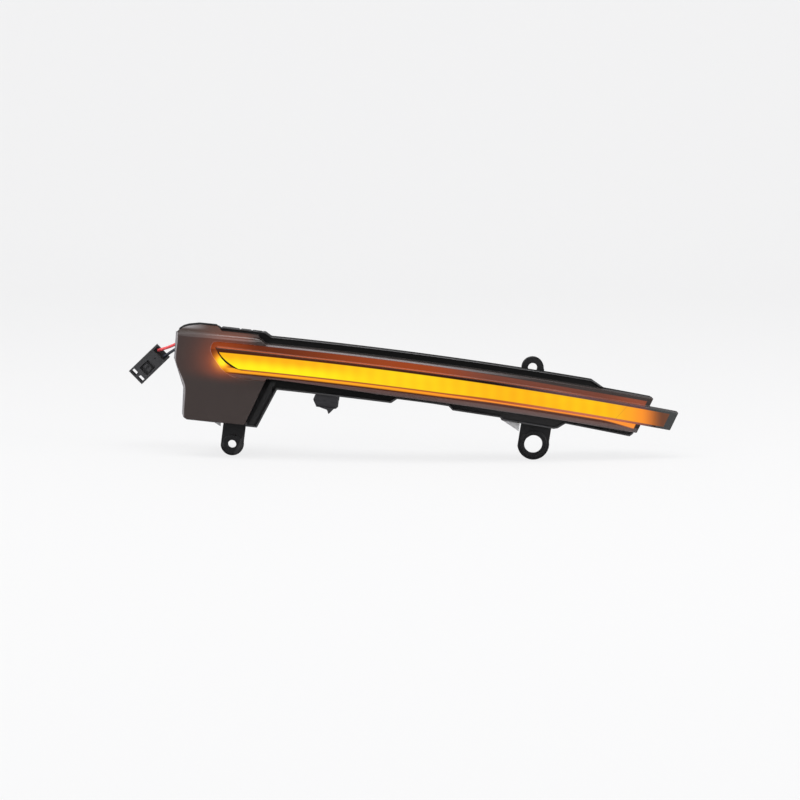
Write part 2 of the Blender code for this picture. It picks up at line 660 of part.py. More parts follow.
def rear_housing():
    flange = flange_plate()
    top = STRIP_TOP + UPPER_FLANGE
    over = FLANGE_CHAMFER + 1 * MM
    chamfer = bar(
        [(LIP_FRONT - 1 * MM, top - over), (LIP_FRONT + over, top + 1 * MM),
         (LIP_FRONT - 1 * MM, top + 1 * MM)],
        HEAD_SHOULDER + 2.3 * MM, UPPER_FLANGE_END + 6 * MM,
    )
    slots = []
    for x in TOOTH_SLOTS:
        low = (x, FLANGE_FRONT - 1 * MM, HEAD_RISE - TOOTH_DEPTH)
        slots.append(block(low, (x + TOOTH_SLOT_WIDTH, FLANGE_REAR + 1 * MM, HEAD_RISE + 2 * MM)))
    flange = cut(flange, chamfer, *slots)
    head_tub = slab(inset(HEAD_OUTLINE, TUB_INSET), FLANGE_FRONT + 0.5 * MM, HEAD_REAR)
    tub = join(flange, head_tub, strip_tub(0, FLANGE_FRONT + 0.6 * MM, STRIP_REAR))
    ribs = []
    rib_count = int((UPPER_FLANGE_END - FIRST_REAR_RIB) / REAR_RIB_PITCH)
    for i in range(rib_count + 1):
        x = FIRST_REAR_RIB + i * REAR_RIB_PITCH
        ribs.append(rear_rib(x, below=False))
        ribs.append(rear_rib(x, below=True))
    tub = join(tub, *ribs)
    head_hollow = slab(inset(HEAD_OUTLINE, TUB_INSET + TUB_WALL), 0, HEAD_REAR - TUB_WALL)
    crown, start = HEAD_RISE - TUB_INSET, HEAD_REAR - CROWN_RUN
    crown_chamfer = bar(
        [(start, crown), (HEAD_REAR + 1 * MM, crown - CROWN_FALL), (HEAD_REAR + 1 * MM, crown + 4 * MM),
         (start, crown + 4 * MM)],
        -HEAD_LEFT - 2 * MM, RIM_STEP_X,
    )
    tub = cut(tub, head_hollow, crown_chamfer, strip_tub(TUB_WALL, -1 * MM, STRIP_REAR - TUB_WALL))
    tub = bend(tub, "rear_housing", BLACK)
    tongue = block(
        (-CLIP_TONGUE / 2, -TONGUE_THICKNESS / 2, -TONGUE_REACH),
        (CLIP_TONGUE / 2, TONGUE_THICKNESS / 2, CLIP_DROP + 0.5 * MM),
    )
    seat(tongue, CLIP_X, CLIP_DEPTH, -TUB_HALF - CLIP_DROP)

    # Screw posts behind the board, the grommet's port and the vent's port stand square to the curve
    posts, holes = [], []
    post_front = BOARD_THICKNESS + GAP
    for x, z in SCREW_POSTS:
        floor = (STRIP_REAR if x > HEAD_SHOULDER else HEAD_REAR) - TUB_WALL / 2 - BOARD_FRONT
        posts.append(seat(drum(0, 0, POST_RADIUS, post_front, floor, 12), x, BOARD_FRONT, z))
        pilot = drum(0, 0, SCREW_RADIUS + GAP, BOARD_THICKNESS, BOARD_THICKNESS + SCREW_REACH + GAP, 8)
        holes.append(seat(pilot, x, BOARD_FRONT, z))
    ports = [
        (GROMMET_X, GROMMET_HEIGHT, GROMMET_RADIUS - GROMMET_GROOVE), (VENT_X, VENT_HEIGHT, VENT_STEM),
    ]
    for x, z, radius in ports:
        holes.append(seat(drum(0, 0, radius + GAP, -3 * MM, 1 * MM, 16), x, HEAD_REAR, z))
    tub = cut(join(tub, tongue, *posts), *holes)

    # The tabs and the eye stay flat and square to the lamp's own axes
    foot_height = droop(0) - HEAD_DROP + TUB_INSET + TUB_WALL / 2
    hole = Vector((-math.sin(TAB_LEAN), -math.cos(TAB_LEAN))) * SCREW_TAB_LENGTH
    screw_tab = slab(
        tab_outline(hole.x, hole.y, SCREW_TAB_RADIUS, TAB_LEAN, foot_height), -TAB_THICKNESS, 0
    )
    screw_boss = drum(hole.x, hole.y, SCREW_BOSS_RADIUS, -TAB_THICKNESS - BOSS_HEIGHT, -TAB_THICKNESS / 2, 32)
    ring = on_curve(RING_X, RING_DEPTH, -RING_DROP)
    ring_root = droop(RING_X) - TUB_HALF + TUB_WALL / 2
    ring_tab = slab(
        tab_outline(ring.x, ring.z, RING_TAB_RADIUS, RING_TAB_LEAN, ring_root),
        ring.y - TAB_THICKNESS, ring.y,
    )
    ring_boss = drum(
        ring.x, ring.z, RING_BOSS_RADIUS, ring.y - TAB_THICKNESS - BOSS_HEIGHT, ring.y - TAB_THICKNESS / 2, 32
    )
    eye = on_curve(EYE_X, EYE_DEPTH, EYE_RISE)
    neck_foot = droop(EYE_X) + TUB_HALF - TUB_WALL / 2
    left, right = eye.x - EYE_RADIUS, eye.x + EYE_RADIUS
    eye_plate = slab(
        [(left, eye.z), (left, neck_foot), (right, neck_foot), (right, eye.z)],
        eye.y - EYE_THICKNESS, eye.y - 0.01 * MM,
    )
    eye_ring = drum(eye.x, eye.z, EYE_RADIUS, eye.y - EYE_THICKNESS - 0.2 * MM, eye.y, 32)
    housing = join(tub, screw_tab, screw_boss, ring_tab, ring_boss, eye_plate, eye_ring)
    deep = 5 * MM
    housing = cut(
        housing,
        drum(hole.x, hole.y, SCREW_HOLE_RADIUS, -deep, deep, 24),
        drum(ring.x, ring.z, RING_HOLE_RADIUS, ring.y - deep, ring.y + deep, 32),
        drum(eye.x, eye.z, EYE_HOLE_RADIUS, eye.y - deep, eye.y + deep, 24),
    )
    return named(housing, "rear_housing", BLACK)


def clear_wedge():
    """A thin clear wedge in the corner between the lower flange and the ring tab."""
    ring = on_curve(RING_X, RING_DEPTH, -RING_DROP)
    under = droop(RING_X) - TUB_HALF - GAP
    left = ring.x - PAD_REACH
    foot = droop(left) - STRIP_BOTTOM - PAD_FLANGE - 0.2 * MM
    tab_side = ring.x - RING_TAB_RADIUS / math.cos(RING_TAB_LEAN) - GAP
    side = [(tab_side + rise * math.tan(RING_TAB_LEAN), ring.z + rise) for rise in (WEDGE_RISE, under - ring.z)]
    rear = ring.y - TAB_THICKNESS / 2 + WEDGE_THICKNESS / 2 - 0.2 * MM
    return named(slab([(left, under), (left, foot), *side], rear - WEDGE_THICKNESS, rear), "clear_wedge", CLEAR)


def light_bezel():
    """The dark mask behind the lens, with a slot that the light bar passes through."""
    head = cut(slab(inset(HEAD_OUTLINE, SKIRT_WALL + GAP), BEZEL_FRONT, BEZEL_REAR),
               roll_wedge(PANEL_WALL + 2 * GAP))
    strip = slab(inset(STRIP_OUTLINE, SKIRT_WALL + GAP), BEZEL_FRONT + 0.01 * MM, BEZEL_REAR - 0.01 * MM)
    slot = slab(inset(rib_outline(BAR_END), RIB_WALL), 0, BEZEL_REAR + 1 * MM)
    return bend(cut(join(head, strip), slot), "light_bezel", BLACK)


def light_bar():
    body = slab(inset(rib_outline(BAR_END), RIB_WALL + GAP), BAR_FRONT, BAR_FRONT + BAR_DEPTH)
    tip = slab(
        inset(rib_outline(POCKET_END), RIB_WALL + GAP), BAR_FRONT + 0.01 * MM, PANEL_REAR - RIB_WALL - GAP
    )
    return bend(join(body, tip), "light_bar", AMBER)


def led_places():
    pitch = (LED_LAST - LED_FIRST) / (LED_COUNT - 1)
    return [LED_FIRST + pitch * i for i in range(LED_COUNT)]


def reflector_strip():
    """A long tray whose floor has a pocket for each LED, and whose mouth faces the light bar."""
    half = REFLECTOR_HEIGHT / 2
    start, end = LED_FIRST - REFLECTOR_MARGIN, LED_LAST + REFLECTOR_MARGIN
    tray = slab([(start, -half), (end, -half), (end, half), (start, half)], REFLECTOR_FRONT, REFLECTOR_REAR)
    inner = half - REFLECTOR_WALL
    mouth = block(
        (start + REFLECTOR_WALL, 0, -inner), (end - REFLECTOR_WALL, REFLECTOR_REAR - REFLECTOR_WALL, inner)
    )
    wide, tall = LED_SIZE[0] / 2 + POCKET_ROOM, LED_SIZE[2] / 2 + POCKET_ROOM
    pockets = [block((x - wide, 0, -tall), (x + wide, 2 * REFLECTOR_REAR, tall)) for x in led_places()]
    return bend(cut(cut(tray, mouth), *pockets), "reflector_strip", WHITE)


def led_board():
    board = slab(BOARD_OUTLINE, BOARD_FRONT, BOARD_FRONT + BOARD_THICKNESS)
    board = bend(board, "led_board", BOARD)
    holes = [
        seat(drum(0, 0, SCREW_RADIUS + GAP, -1 * MM, BOARD_THICKNESS + 1 * MM, 12), x, BOARD_FRONT, z)
        for x, z in SCREW_POSTS
    ]
    return named(cut(board, *holes), "led_board", BOARD)


def leds():
    wide, deep, tall = LED_SIZE
    for i, x in enumerate(led_places()):
        led = block((-wide / 2, -deep - GAP, -tall / 2), (wide / 2, -GAP, tall / 2))
        soften(led, 0.15 * MM, 1)
        seat(named(led, f"led_{i + 1:02d}", WHITE), x, BOARD_FRONT, 0)


def soften(body, width, segments=2):
    """Rounds the body's sharp edges."""
    edge = body.modifiers.new("edge", "BEVEL")
    edge.width = width
    edge.segments = segments
    edge.limit_method = "ANGLE"
    edge.angle_limit = math.radians(35)
    return body


def chips():
    """The driver's parts, which stand on the front of the board's pad behind the head."""
    low = PAD_LOW / MM
    boxes = {
        "driver_chip": (-7.2, -8.6, 5.0, 1.6, 4.0, CHIP),
        "input_diode": (-14.0, -12.2, 2.6, 2.1, 4.4, CHIP),
        "sense_resistor_a": (-2.2, -8.6, 1.6, 0.6, 3.2, CHIP),
        "sense_resistor_b": (0.6, -8.6, 1.6, 0.6, 3.2, CHIP),
        "power_coil": (-7.6, low + 5.6, 7.0, 4.2, 7.0, CERAMIC),
    }
    for name, (x, z, wide, deep, tall, skin) in boxes.items():
        body = block((-wide / 2 * MM, -deep * MM - GAP, -tall / 2 * MM), (wide / 2 * MM, -GAP, tall / 2 * MM))
        soften(body, 0.25 * MM)
        seat(named(body, name, skin), x * MM, BOARD_FRONT, z * MM)
    can = [(0, -5.6), (2.9, -5.6), (3.1, -5.3), (3.1, -1.4), (2.9, -1.1), (3.1, -0.8), (3.1, -0.3), (0, -0.3)]
    for name, x, z in (("input_capacitor", -13.6, -5.8), ("output_capacitor", 0.2, low + 6.2)):
        seat(named(turned(can), name, METAL), x * MM, BOARD_FRONT, z * MM)


def turned(profile, steps=20):
    """A profile of (radius, depth) points in millimetres, front to rear, turned about the y axis."""
    mesh = bpy.data.meshes.new("profile")
    points = [(radius * MM, depth * MM, 0) for radius, depth in profile]
    mesh.from_pydata(points, [(i, i + 1) for i in range(len(points) - 1)], [])
    body = add_object("turned", mesh)
    spin = body.modifiers.new("spin", "SCREW")
    spin.axis = "Y"
    spin.steps = spin.render_steps = steps
    spin.use_merge_vertices = True
    spin.merge_threshold = 1e-6
    body.data = evaluated_mesh(body)
    body.modifiers.clear()
    return edited(body, lambda shape: bmesh.ops.recalc_face_normals(shape, faces=shape.faces))


def board_screws():
    for i, (x, z) in enumerate(SCREW_POSTS):
        head, shank = SCREW_HEAD_RADIUS / MM, SCREW_RADIUS / MM
        gap, high = GAP / MM, SCREW_HEAD_HEIGHT / MM
        reach = (BOARD_THICKNESS + SCREW_REACH) / MM - 0.6
        body = turned([
            (0, -gap - high * 0.6), (head * 0.45, -gap - high * 0.6), (head * 0.5, -gap - high),
            (head * 0.8, -gap - high), (head, -gap - high * 0.6), (head, -gap), (shank, -gap), (shank, reach),
            (0, reach + 0.4),
        ], 12)
        seat(named(body, f"board_screw_{i + 1}", METAL), x, BOARD_FRONT, z)


def cable_grommet():
    neck, flange = (GROMMET_RADIUS - GROMMET_GROOVE) / MM, GROMMET_RADIUS / MM
    wall, tail = TUB_WALL / MM, GROMMET_TAIL / MM
    body = turned([
        (0, -wall - 1.3), (neck + 0.1, -wall - 1.3), (neck + 0.25, -wall - 0.45), (neck, -wall - 0.3),
        (neck, 0.3), (flange, 0.3), (flange, 1.2), (neck, 1.5), (neck * 0.86, tail), (0, tail),
    ], 24)
    return seat(named(body, "cable_grommet", RUBBER), GROMMET_X, HEAD_REAR, GROMMET_HEIGHT)


def vent_cap():
    stem, wall = VENT_STEM / MM, TUB_WALL / MM
    body = turned([
        (0, -wall - 0.6), (stem, -wall - 0.6), (stem, 0.3), (4.2, 0.3), (4.4, 0.6), (4.4, 1.6), (3.9, 2.1),
        (1.5, 2.1), (1.2, 1.8), (0, 1.8),
    ], 24)
    return seat(named(body, "vent_cap", RUBBER), VENT_X, HEAD_REAR, VENT_HEIGHT)


def snap_clip():
    """A barbed clip that is pushed up on the housing's tongue and hooks into the mirror's shell."""
    half = CLIP_WIDTH / 2 / MM
    outline = [
        (-half, 0.2), (-half - 1.1, -3.0), (-half + 0.6, -6.0), (-half + 2.3, -6.1), (0.7, -7.0), (1.6, -9.0),
        (3.7, -6.3), (half - 0.2, -5.9), (half, 0.4),
    ]
    thick = CLIP_THICKNESS
    body = slab([(x * MM, z * MM) for x, z in outline], -thick / 2, thick / 2)
    slot = block(
        (-CLIP_TONGUE / 2 - GAP, -TONGUE_THICKNESS / 2 - GAP, -TONGUE_REACH - GAP),
        (CLIP_TONGUE / 2 + GAP, TONGUE_THICKNESS / 2 + GAP, 2 * MM),
    )
    waist = []
    for middle in (-thick / 2, thick / 2):
        low = (-CLIP_WIDTH, middle - WAIST_DEPTH, -5.9 * MM)
        waist.append(block(low, (CLIP_WIDTH, middle + WAIST_DEPTH, -2.6 * MM)))
    body = cut(soften(body, 0.3 * MM, 1), slot, *waist)
    return seat(named(body, "snap_clip", BLACK), CLIP_X, CLIP_DEPTH, -TUB_HALF - CLIP_DROP)


def behind_head(x, out, up):
    """World place of a point of the lead's route, given in millimetres."""
    return Vector((x * MM, sweep(x * MM) + HEAD_REAR + out * MM, CENTRE_HEIGHT + up * MM))


def wire_clip():
    """An open clip on the back of the head that holds the two leads."""
    across = 2 * WIRE_RADIUS + 2 * GAP
    half = WIRE_RADIUS + WIRE_HALF_PITCH + 1.6 * GAP
    foot, arm, lip = WIRE_CLIP_FOOT, 1.2 * MM, 0.9 * MM
    inner, outer = foot + across, foot + across + arm
    outline = [
        (0, -half - arm), (outer, -half - arm), (outer, -lip), (inner, -lip), (inner, -half), (foot, -half),
        (foot, half), (inner, half), (inner, lip), (outer, lip), (outer, half + arm), (0, half + arm),
    ]
    body = bar(outline, -2.2 * MM, 2.2 * MM)
    seat(named(body, "wire_clip", BLACK), WIRE_CLIP_X, HEAD_REAR + GAP, WIRE_CLIP_HEIGHT)
    body.rotation_euler.y = WIRE_CLIP_LEAN
    return body


def smooth(points, steps=12):
    """Close-set points on a smooth curve through the given ones."""
    padded = [2 * points[0] - points[1], *points, 2 * points[-1] - points[-2]]
    fine = []
    for a, b, c, d in zip(padded, padded[1:], padded[2:], padded[3:]):
        for i in range(steps):
            t = i / steps
            bow = (2 * a - 5 * b + 4 * c - d) * t ** 2 + (3 * b - a - 3 * c + d) * t ** 3
            fine.append(0.5 * (2 * b + (c - a) * t + bow))
    return fine + [points[-1]]


def evenly(fine, count):
    """Count points an even distance apart on the line through the fine ones."""
    lengths = [0.0]
    for a, b in zip(fine, fine[1:]):
        lengths.append(lengths[-1] + (b - a).length)
    even, step = [], 0
    for i in range(count):
        wanted = lengths[-1] * i / (count - 1)
        while step < len(lengths) - 2 and lengths[step + 1] < wanted:
            step += 1
        share = (wanted - lengths[step]) / (lengths[step + 1] - lengths[step])
        even.append(fine[step].lerp(fine[step + 1], min(share, 1.0)))
    return even


def lead_points(side):
    """One lead's points: the pair leaves the grommet side by side and spreads to the connector's cavities."""
    turned_back = math.atan((GROMMET_X - SWEEP_CREST) / SWEEP_RADIUS)
    outwards = Vector((-math.sin(turned_back), math.cos(turned_back), 0))
    root = on_curve(GROMMET_X, HEAD_REAR, GROMMET_HEIGHT)
    back = Matrix.Rotation(CONNECTOR_ANGLE, 3, "Y") @ Vector((-1, 0, 0))
    entry = behind_head(*CONNECTOR_PLACE) - back * LEAD_ENTRY
    centre = [root + outwards * (GROMMET_TAIL + GAP), root + outwards * (GROMMET_TAIL + 2.2 * MM)]
    centre += [behind_head(*point) for point in LEAD_ROUTE]
    centre += [entry]
    path = evenly(smooth(centre), WIRE_POINT_COUNT)
    last = len(path) - 1
    points = []
    for i, place in enumerate(path):
        if i == 0:
            across = outwards.cross(Vector((0, 0, 1)))
        else:
            along = -back if i == last else path[i + 1] - path[i - 1]
            turn = math.atan((place.x - SWEEP_CREST) / SWEEP_RADIUS) * min(1, (last - i) / SPREAD_POINTS)
            flat = along.normalized().cross(Vector((-math.sin(turn), math.cos(turn), 0)))
            across = flat.normalized() if flat.length > 0.5 else across
        spread = (LEAD_SPREAD - WIRE_HALF_PITCH) * max(0, 1 - (last - i) / SPREAD_POINTS) ** 2
        points.append(place + across * side * (WIRE_HALF_PITCH + spread))
    return points


def lead(name, side, skin):
    curve = bpy.data.curves.new(name, "CURVE")
    curve.dimensions = "3D"
    curve.bevel_depth = WIRE_RADIUS
    curve.bevel_resolution = 2
    curve.use_fill_caps = True
    curve.materials.append(skin)
    spline = curve.splines.new("POLY")
    points = lead_points(side)
    spline.points.add(len(points) - 1)
    for point, place in zip(spline.points, points):
        point.co = (*place, 1)
    return add_object(name, curve)


def on_connector(body):
    """Turns a piece that was built along x from the connector's wire side to its place."""
    body.location = behind_head(*CONNECTOR_PLACE)
    body.rotation_euler = (0, CONNECTOR_ANGLE, 0)
    return body


def connector_housing():
    front, half = CONNECTOR_DEPTH / 2, CONNECTOR_WIDTH / 2
    body = block((0.2 * MM, -front, -half), (CONNECTOR_LENGTH, front, half))
    pocket_half = half - ENTRY_WALL
    cutters = [
        block((RECESS_X - RECESS_HALF_LENGTH, -front - 1 * MM, RECESS_Z - RECESS_HALF_WIDTH),
              (RECESS_X + RECESS_HALF_LENGTH, -front + RECESS_DEPTH, RECESS_Z + RECESS_HALF_WIDTH)),
        block((-1 * MM, -front - 1 * MM, -pocket_half), (ENTRY_POCKET, 1.2 * MM, pocket_half)),
        block((DOT_X - DOT_HALF, -front - 1 * MM, -DOT_HALF), (DOT_X + DOT_HALF, -front + 0.6 * MM, DOT_HALF)),
    ]
    for side in (-1, 1):
        z = side * CONNECTOR_PITCH / 2
        cutters.append(block(
            (CAVITY_START, TERMINAL_DEPTH - TERMINAL_ROOM, z - TERMINAL_ROOM),
            (2 * CONNECTOR_LENGTH, TERMINAL_DEPTH + TERMINAL_ROOM, z + TERMINAL_ROOM),
        ))
        z = side * WINDOW_Z
        cutters.append(block(
            (WINDOW_X - WINDOW_HALF_LENGTH, -CONNECTOR_DEPTH, z - WINDOW_HALF_WIDTH),
            (WINDOW_X + WINDOW_HALF_LENGTH, CONNECTOR_DEPTH, z + WINDOW_HALF_WIDTH),
        ))
    body = cut(body, *cutters)
    return on_connector(named(soften(body, 0.25 * MM, 1), "connector_housing", PLUG))


def connector_lock():
    """The small slide in the connector's recess that holds the terminals in."""
    rear = -CONNECTOR_DEPTH / 2 + RECESS_DEPTH - GAP
    low, high = RECESS_X - 1.7 * MM, RECESS_X + 1.7 * MM
    body = block((low, rear - 0.5 * MM, RECESS_Z - 2.3 * MM), (high, rear, RECESS_Z + 2.3 * MM))
    pads = []
    for z in (RECESS_Z - 1.2 * MM, RECESS_Z + 1.2 * MM):
        corner = (low + 0.5 * MM, rear - 1.1 * MM, z - 0.7 * MM)
        pads.append(block(corner, (high - 0.5 * MM, rear - 0.3 * MM, z + 0.7 * MM)))
    return on_connector(named(join(body, *pads), "connector_lock", PLUG))


def terminals():
    """Two crimped box terminals in the connector's cavities."""
    half, bore = TERMINAL / 2, TERMINAL / 2 - TERMINAL_WALL
    for name, side in (("terminal_red", -1), ("terminal_black", 1)):
        body = block((0, -half, -half), (TERMINAL_LENGTH, half, half))
        socket = block((TERMINAL_LENGTH / 2, -bore, -bore), (TERMINAL_LENGTH + 1 * MM, bore, bore))
        body = named(cut(body, socket), name, METAL)
        place = (CAVITY_START + 0.4 * MM, TERMINAL_DEPTH, side * CONNECTOR_PITCH / 2)
        body.data.transform(Matrix.Translation(place))
        on_connector(body)


outer_lens()
lens_seal()
rear_housing()
clear_rim()
clear_wedge()
light_bezel()
light_bar()
reflector_strip()
led_board()
leds()
chips()
board_screws()
cable_grommet()
vent_cap()
snap_clip()
wire_clip()
lead("wire_red", -1, RED_SKIN)
lead("wire_black", 1, BLACK_SKIN)
connector_housing()
connector_lock()
terminals()
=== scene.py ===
import math

import bmesh
import bpy
from mathutils import Matrix, Vector


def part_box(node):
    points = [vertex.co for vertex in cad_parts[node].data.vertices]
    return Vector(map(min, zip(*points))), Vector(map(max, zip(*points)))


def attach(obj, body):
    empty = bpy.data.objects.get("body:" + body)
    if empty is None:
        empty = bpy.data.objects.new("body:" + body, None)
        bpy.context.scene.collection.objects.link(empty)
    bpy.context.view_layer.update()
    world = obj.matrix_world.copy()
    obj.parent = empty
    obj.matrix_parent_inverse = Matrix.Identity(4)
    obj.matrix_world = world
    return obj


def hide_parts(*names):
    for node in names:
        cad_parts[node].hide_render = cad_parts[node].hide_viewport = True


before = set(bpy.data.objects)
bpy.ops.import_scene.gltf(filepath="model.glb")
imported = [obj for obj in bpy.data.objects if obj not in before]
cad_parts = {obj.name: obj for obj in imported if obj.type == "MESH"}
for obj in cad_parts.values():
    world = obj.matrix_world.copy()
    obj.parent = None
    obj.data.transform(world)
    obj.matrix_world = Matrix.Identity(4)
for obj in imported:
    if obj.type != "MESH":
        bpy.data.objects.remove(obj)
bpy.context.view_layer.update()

# The camera stands a metre in front of the lamp and a little above it, with a long lens, so that the lamp's
# head, its sloping light bar and the tops of the tabs show as they do on a photographer's table.
AIM = Vector((0.0799, 0.0, 0.0153))
CAMERA_RISE = math.radians(8)
camera = bpy.data.objects.new("camera", bpy.data.cameras.new("camera"))
camera.data.sensor_width = 36
camera.data.lens = 93.75
camera.data.clip_start = 0.05
camera.location = AIM + Vector((0, -math.cos(CAMERA_RISE), math.sin(CAMERA_RISE)))
camera.rotation_euler = (math.pi / 2 - CAMERA_RISE, 0, 0)
bpy.context.scene.collection.objects.link(camera)
bpy.context.scene.camera = camera
bpy.context.scene.view_settings.view_transform = "Standard"

# The lamp bends to its door mirror: all of it is swept back on a long arc, and slopes down towards the tip.
# A point is given in millimetres: how far along the lamp it is, how deep behind the rib's face, and how
# high above the centre line of the light bar.
MM = 0.001
SWEEP_CREST = 94.3
SWEEP_RADIUS = 752 / 2
SWEEP_START = 14.2
CENTRE_HEIGHT = 36.3
SLOPE = 0.0623
DROOP = 2584


def on_lamp(x, depth, height):
    """The place in metres of a point given in millimetres along, behind and above the bar's line."""
    sweep = ((x - SWEEP_CREST) ** 2 - SWEEP_CREST ** 2) / (2 * SWEEP_RADIUS) - SWEEP_START
    droop = CENTRE_HEIGHT - SLOPE * x - x ** 2 / DROOP
    return Vector((x, depth + sweep, height + droop)) * MM


def sweep_angle(x):
    """How far the swept lamp is turned, x millimetres along it."""
    return math.atan((x - SWEEP_CREST) / SWEEP_RADIUS)


# The two leads are 1.4 mm wires with soft PVC skins, red for the feed and black for earth. They leave the
# grommet side by side, hang in a U behind the head, go through the wire clip, and spread out to the
# connector's two cavities.
WIRE_RADIUS = 0.7
WIRE_HALF_PITCH = 0.95
WIRE_POINT_COUNT = 32
WIRE_STEPS = 4
WIRE_SIDES = 20
SPREAD_POINTS = 4
GROMMET_X = 8.0
GROMMET_HEIGHT = -2.0
GROMMET_TAIL = 3.0
LEAD_STRAIGHT = 2.2
HEAD_REAR = 26.5
GAP = 0.3
LEAD_ENTRY = 1.9
LEAD_SPREAD = 2.1
CONNECTOR_ANGLE = math.radians(136.3)
CONNECTOR_PLACE = (-35.9, -0.9, 0.25)
LEAD_ROUTE = [
    (9.5, 7.7, -4.1), (9.5, 8.6, -7.3), (9.3, 8.7, -11.8), (8.8, 8.6, -16.8), (7.2, 8.3, -21.5),
    (3.9, 7.6, -25.0), (-0.6, 6.7, -26.4), (-5.0, 5.7, -25.0), (-8.4, 4.9, -21.4), (-10.2, 4.4, -16.3),
    (-10.9, 4.0, -10.3), (-11.6, 3.5, -4.8), (-13.4, 3.0, 0.0), (-16.3, 2.8, 3.0), (-19.5, 2.8, 4.4),
    (-22.4, 2.7, 4.7), (-25.6, 2.2, 4.1), (-29.0, 1.0, 2.7), (-32.0, -0.1, 1.2), (-34.6, -0.8, -0.1),
]


class Value:
    """One output in a material's node tree. Sums and products with values or numbers add their nodes."""

    def __init__(self, tree, socket):
        self.tree, self.socket = tree, socket

    def node(self, kind, settings, inputs, output=0):
        """A new node: its settings first, then the values or links of its sockets."""
        made = self.tree.nodes.new(kind)
        for name, setting in settings.items():
            setattr(made, name, setting)
        for name, value in inputs.items():
            if isinstance(value, Value):
                self.tree.links.new(value.socket, made.inputs[name])
            else:
                made.inputs[name].default_value = value
        return Value(self.tree, made.outputs[output])

    def maths(self, operation, *terms):
        return self.node("ShaderNodeMath", {"operation": operation}, dict(enumerate(terms)))

    def __add__(self, other):
        return self.maths("ADD", self, other)

    def __sub__(self, other):
        return self.maths("SUBTRACT", self, other)

    def __rsub__(self, other):
        return self.maths("SUBTRACT", other, self)

    def __mul__(self, other):
        return self.maths("MULTIPLY", self, other)

    def __truediv__(self, other):
        return self.maths("DIVIDE", self, other)

    def __pow__(self, other):
        return self.maths("POWER", self, other)

    __radd__ = __add__
    __rmul__ = __mul__

    def rise(self, low, high):
        """0 below low, 1 above high, and smooth between them; it falls where low is the greater."""
        if low > high:
            return 1 - self.rise(high, low)
        limits = {"Value": self, "From Min": low, "From Max": high}
        return self.node("ShaderNodeMapRange", {"interpolation_type": "SMOOTHSTEP"}, limits)

    def fall(self, reach):
        """1 at 0, and e times less at each reach beyond."""
        return self.maths("EXPONENT", self / -reach)

    def band(self, low, high, soft):
        """1 between low and high, with soft edges."""
        return self.rise(low - soft / 2, low + soft / 2) * self.rise(high + soft / 2, high - soft / 2)

    def axes(self):
        """The three numbers of a place, in millimetres."""
        made = self.tree.nodes.new("ShaderNodeSeparateXYZ")
        self.tree.links.new(self.socket, made.inputs[0])
        return [Value(self.tree, made.outputs[i]) * (1 / MM) for i in range(3)]

    def stretched(self, x, y, z):
        """The place with its axes scaled, for a pattern that runs one way."""
        return self.node("ShaderNodeMapping", {}, {"Vector": self, "Scale": (x, y, z)})

    def noise(self, scale, detail=2, rough=0.5):
        return self.node(
            "ShaderNodeTexNoise", {}, {"Vector": self, "Scale": scale, "Detail": detail, "Roughness": rough}
        )

    def bump(self, strength, distance):
        return self.node(
            "ShaderNodeBump", {}, {"Height": self, "Strength": strength, "Distance": distance * MM}
        )

    def mix(self, low, high):
        """The colour low where this is 0, and high where it is 1. A Mix node takes colours at 6 and 7."""
        colours = [c if isinstance(c, Value) else (*c, 1) for c in (low, high)]
        inputs = {0: self, 6: colours[0], 7: colours[1]}
        return self.node("ShaderNodeMix", {"data_type": "RGBA"}, inputs, 2)


def finish(recipe):
    """Makes a material from a function that turns a place on the object into its shader's sockets."""
    made = bpy.data.materials.new(recipe.__name__)
    made.use_nodes = True
    tree = made.node_tree
    shader = tree.nodes["Principled BSDF"]
    place = Value(tree, tree.nodes.new("ShaderNodeTexCoord").outputs["Object"])
    for socket, value in recipe(place).items():
        if isinstance(value, Value):
            tree.links.new(value.socket, shader.inputs[socket])
        elif isinstance(value, tuple):
            shader.inputs[socket].default_value = (*value, 1)
        else:
            shader.inputs[socket].default_value = value
    return made


def soft_pvc(place, dark, light):
    """A soft PVC skin with a faint mottle between two colours."""
    mottle = place.noise(900, 3)
    return {
        "Base Color": mottle.mix(dark, light),
        "Roughness": mottle * 0.15 + 0.28,
        "Coat Weight": 0.1,
        "Normal": mottle.bump(0.25, 0.05),
    }


@finish
def red_pvc(place):
    return soft_pvc(place, (0.66, 0.045, 0.055), (0.80, 0.085, 0.095))


@finish
def black_pvc(place):
    return soft_pvc(place, (0.016, 0.020, 0.030), (0.030, 0.036, 0.050))


def smooth(points, steps=12):
    """Close-set points on a smooth curve through the given ones."""
    padded = [2 * points[0] - points[1], *points, 2 * points[-1] - points[-2]]
    fine = []
    for a, b, c, d in zip(padded, padded[1:], padded[2:], padded[3:]):
        for i in range(steps):
            t = i / steps
            bow = (2 * a - 5 * b + 4 * c - d) * t ** 2 + (3 * b - a - 3 * c + d) * t ** 3
            fine.append(0.5 * (2 * b + (c - a) * t + bow))
    return fine + [points[-1]]


def evenly(fine, count):
    """Count points an even distance apart on the line through the fine ones."""
    lengths = [0.0]
    for a, b in zip(fine, fine[1:]):
        lengths.append(lengths[-1] + (b - a).length)
    even, step = [], 0
    for i in range(count):
        wanted = lengths[-1] * i / (count - 1)
        while step < len(lengths) - 2 and lengths[step + 1] < wanted:
            step += 1
        share = (wanted - lengths[step]) / (lengths[step + 1] - lengths[step])
        even.append(fine[step].lerp(fine[step + 1], min(share, 1.0)))
    return even


def behind_head(x, behind, height):
    """A point that is given by how far it is behind the head's rear wall at x = 0."""
    return Vector((x * MM, on_lamp(x, HEAD_REAR + behind, 0).y, (CENTRE_HEIGHT + height) * MM))


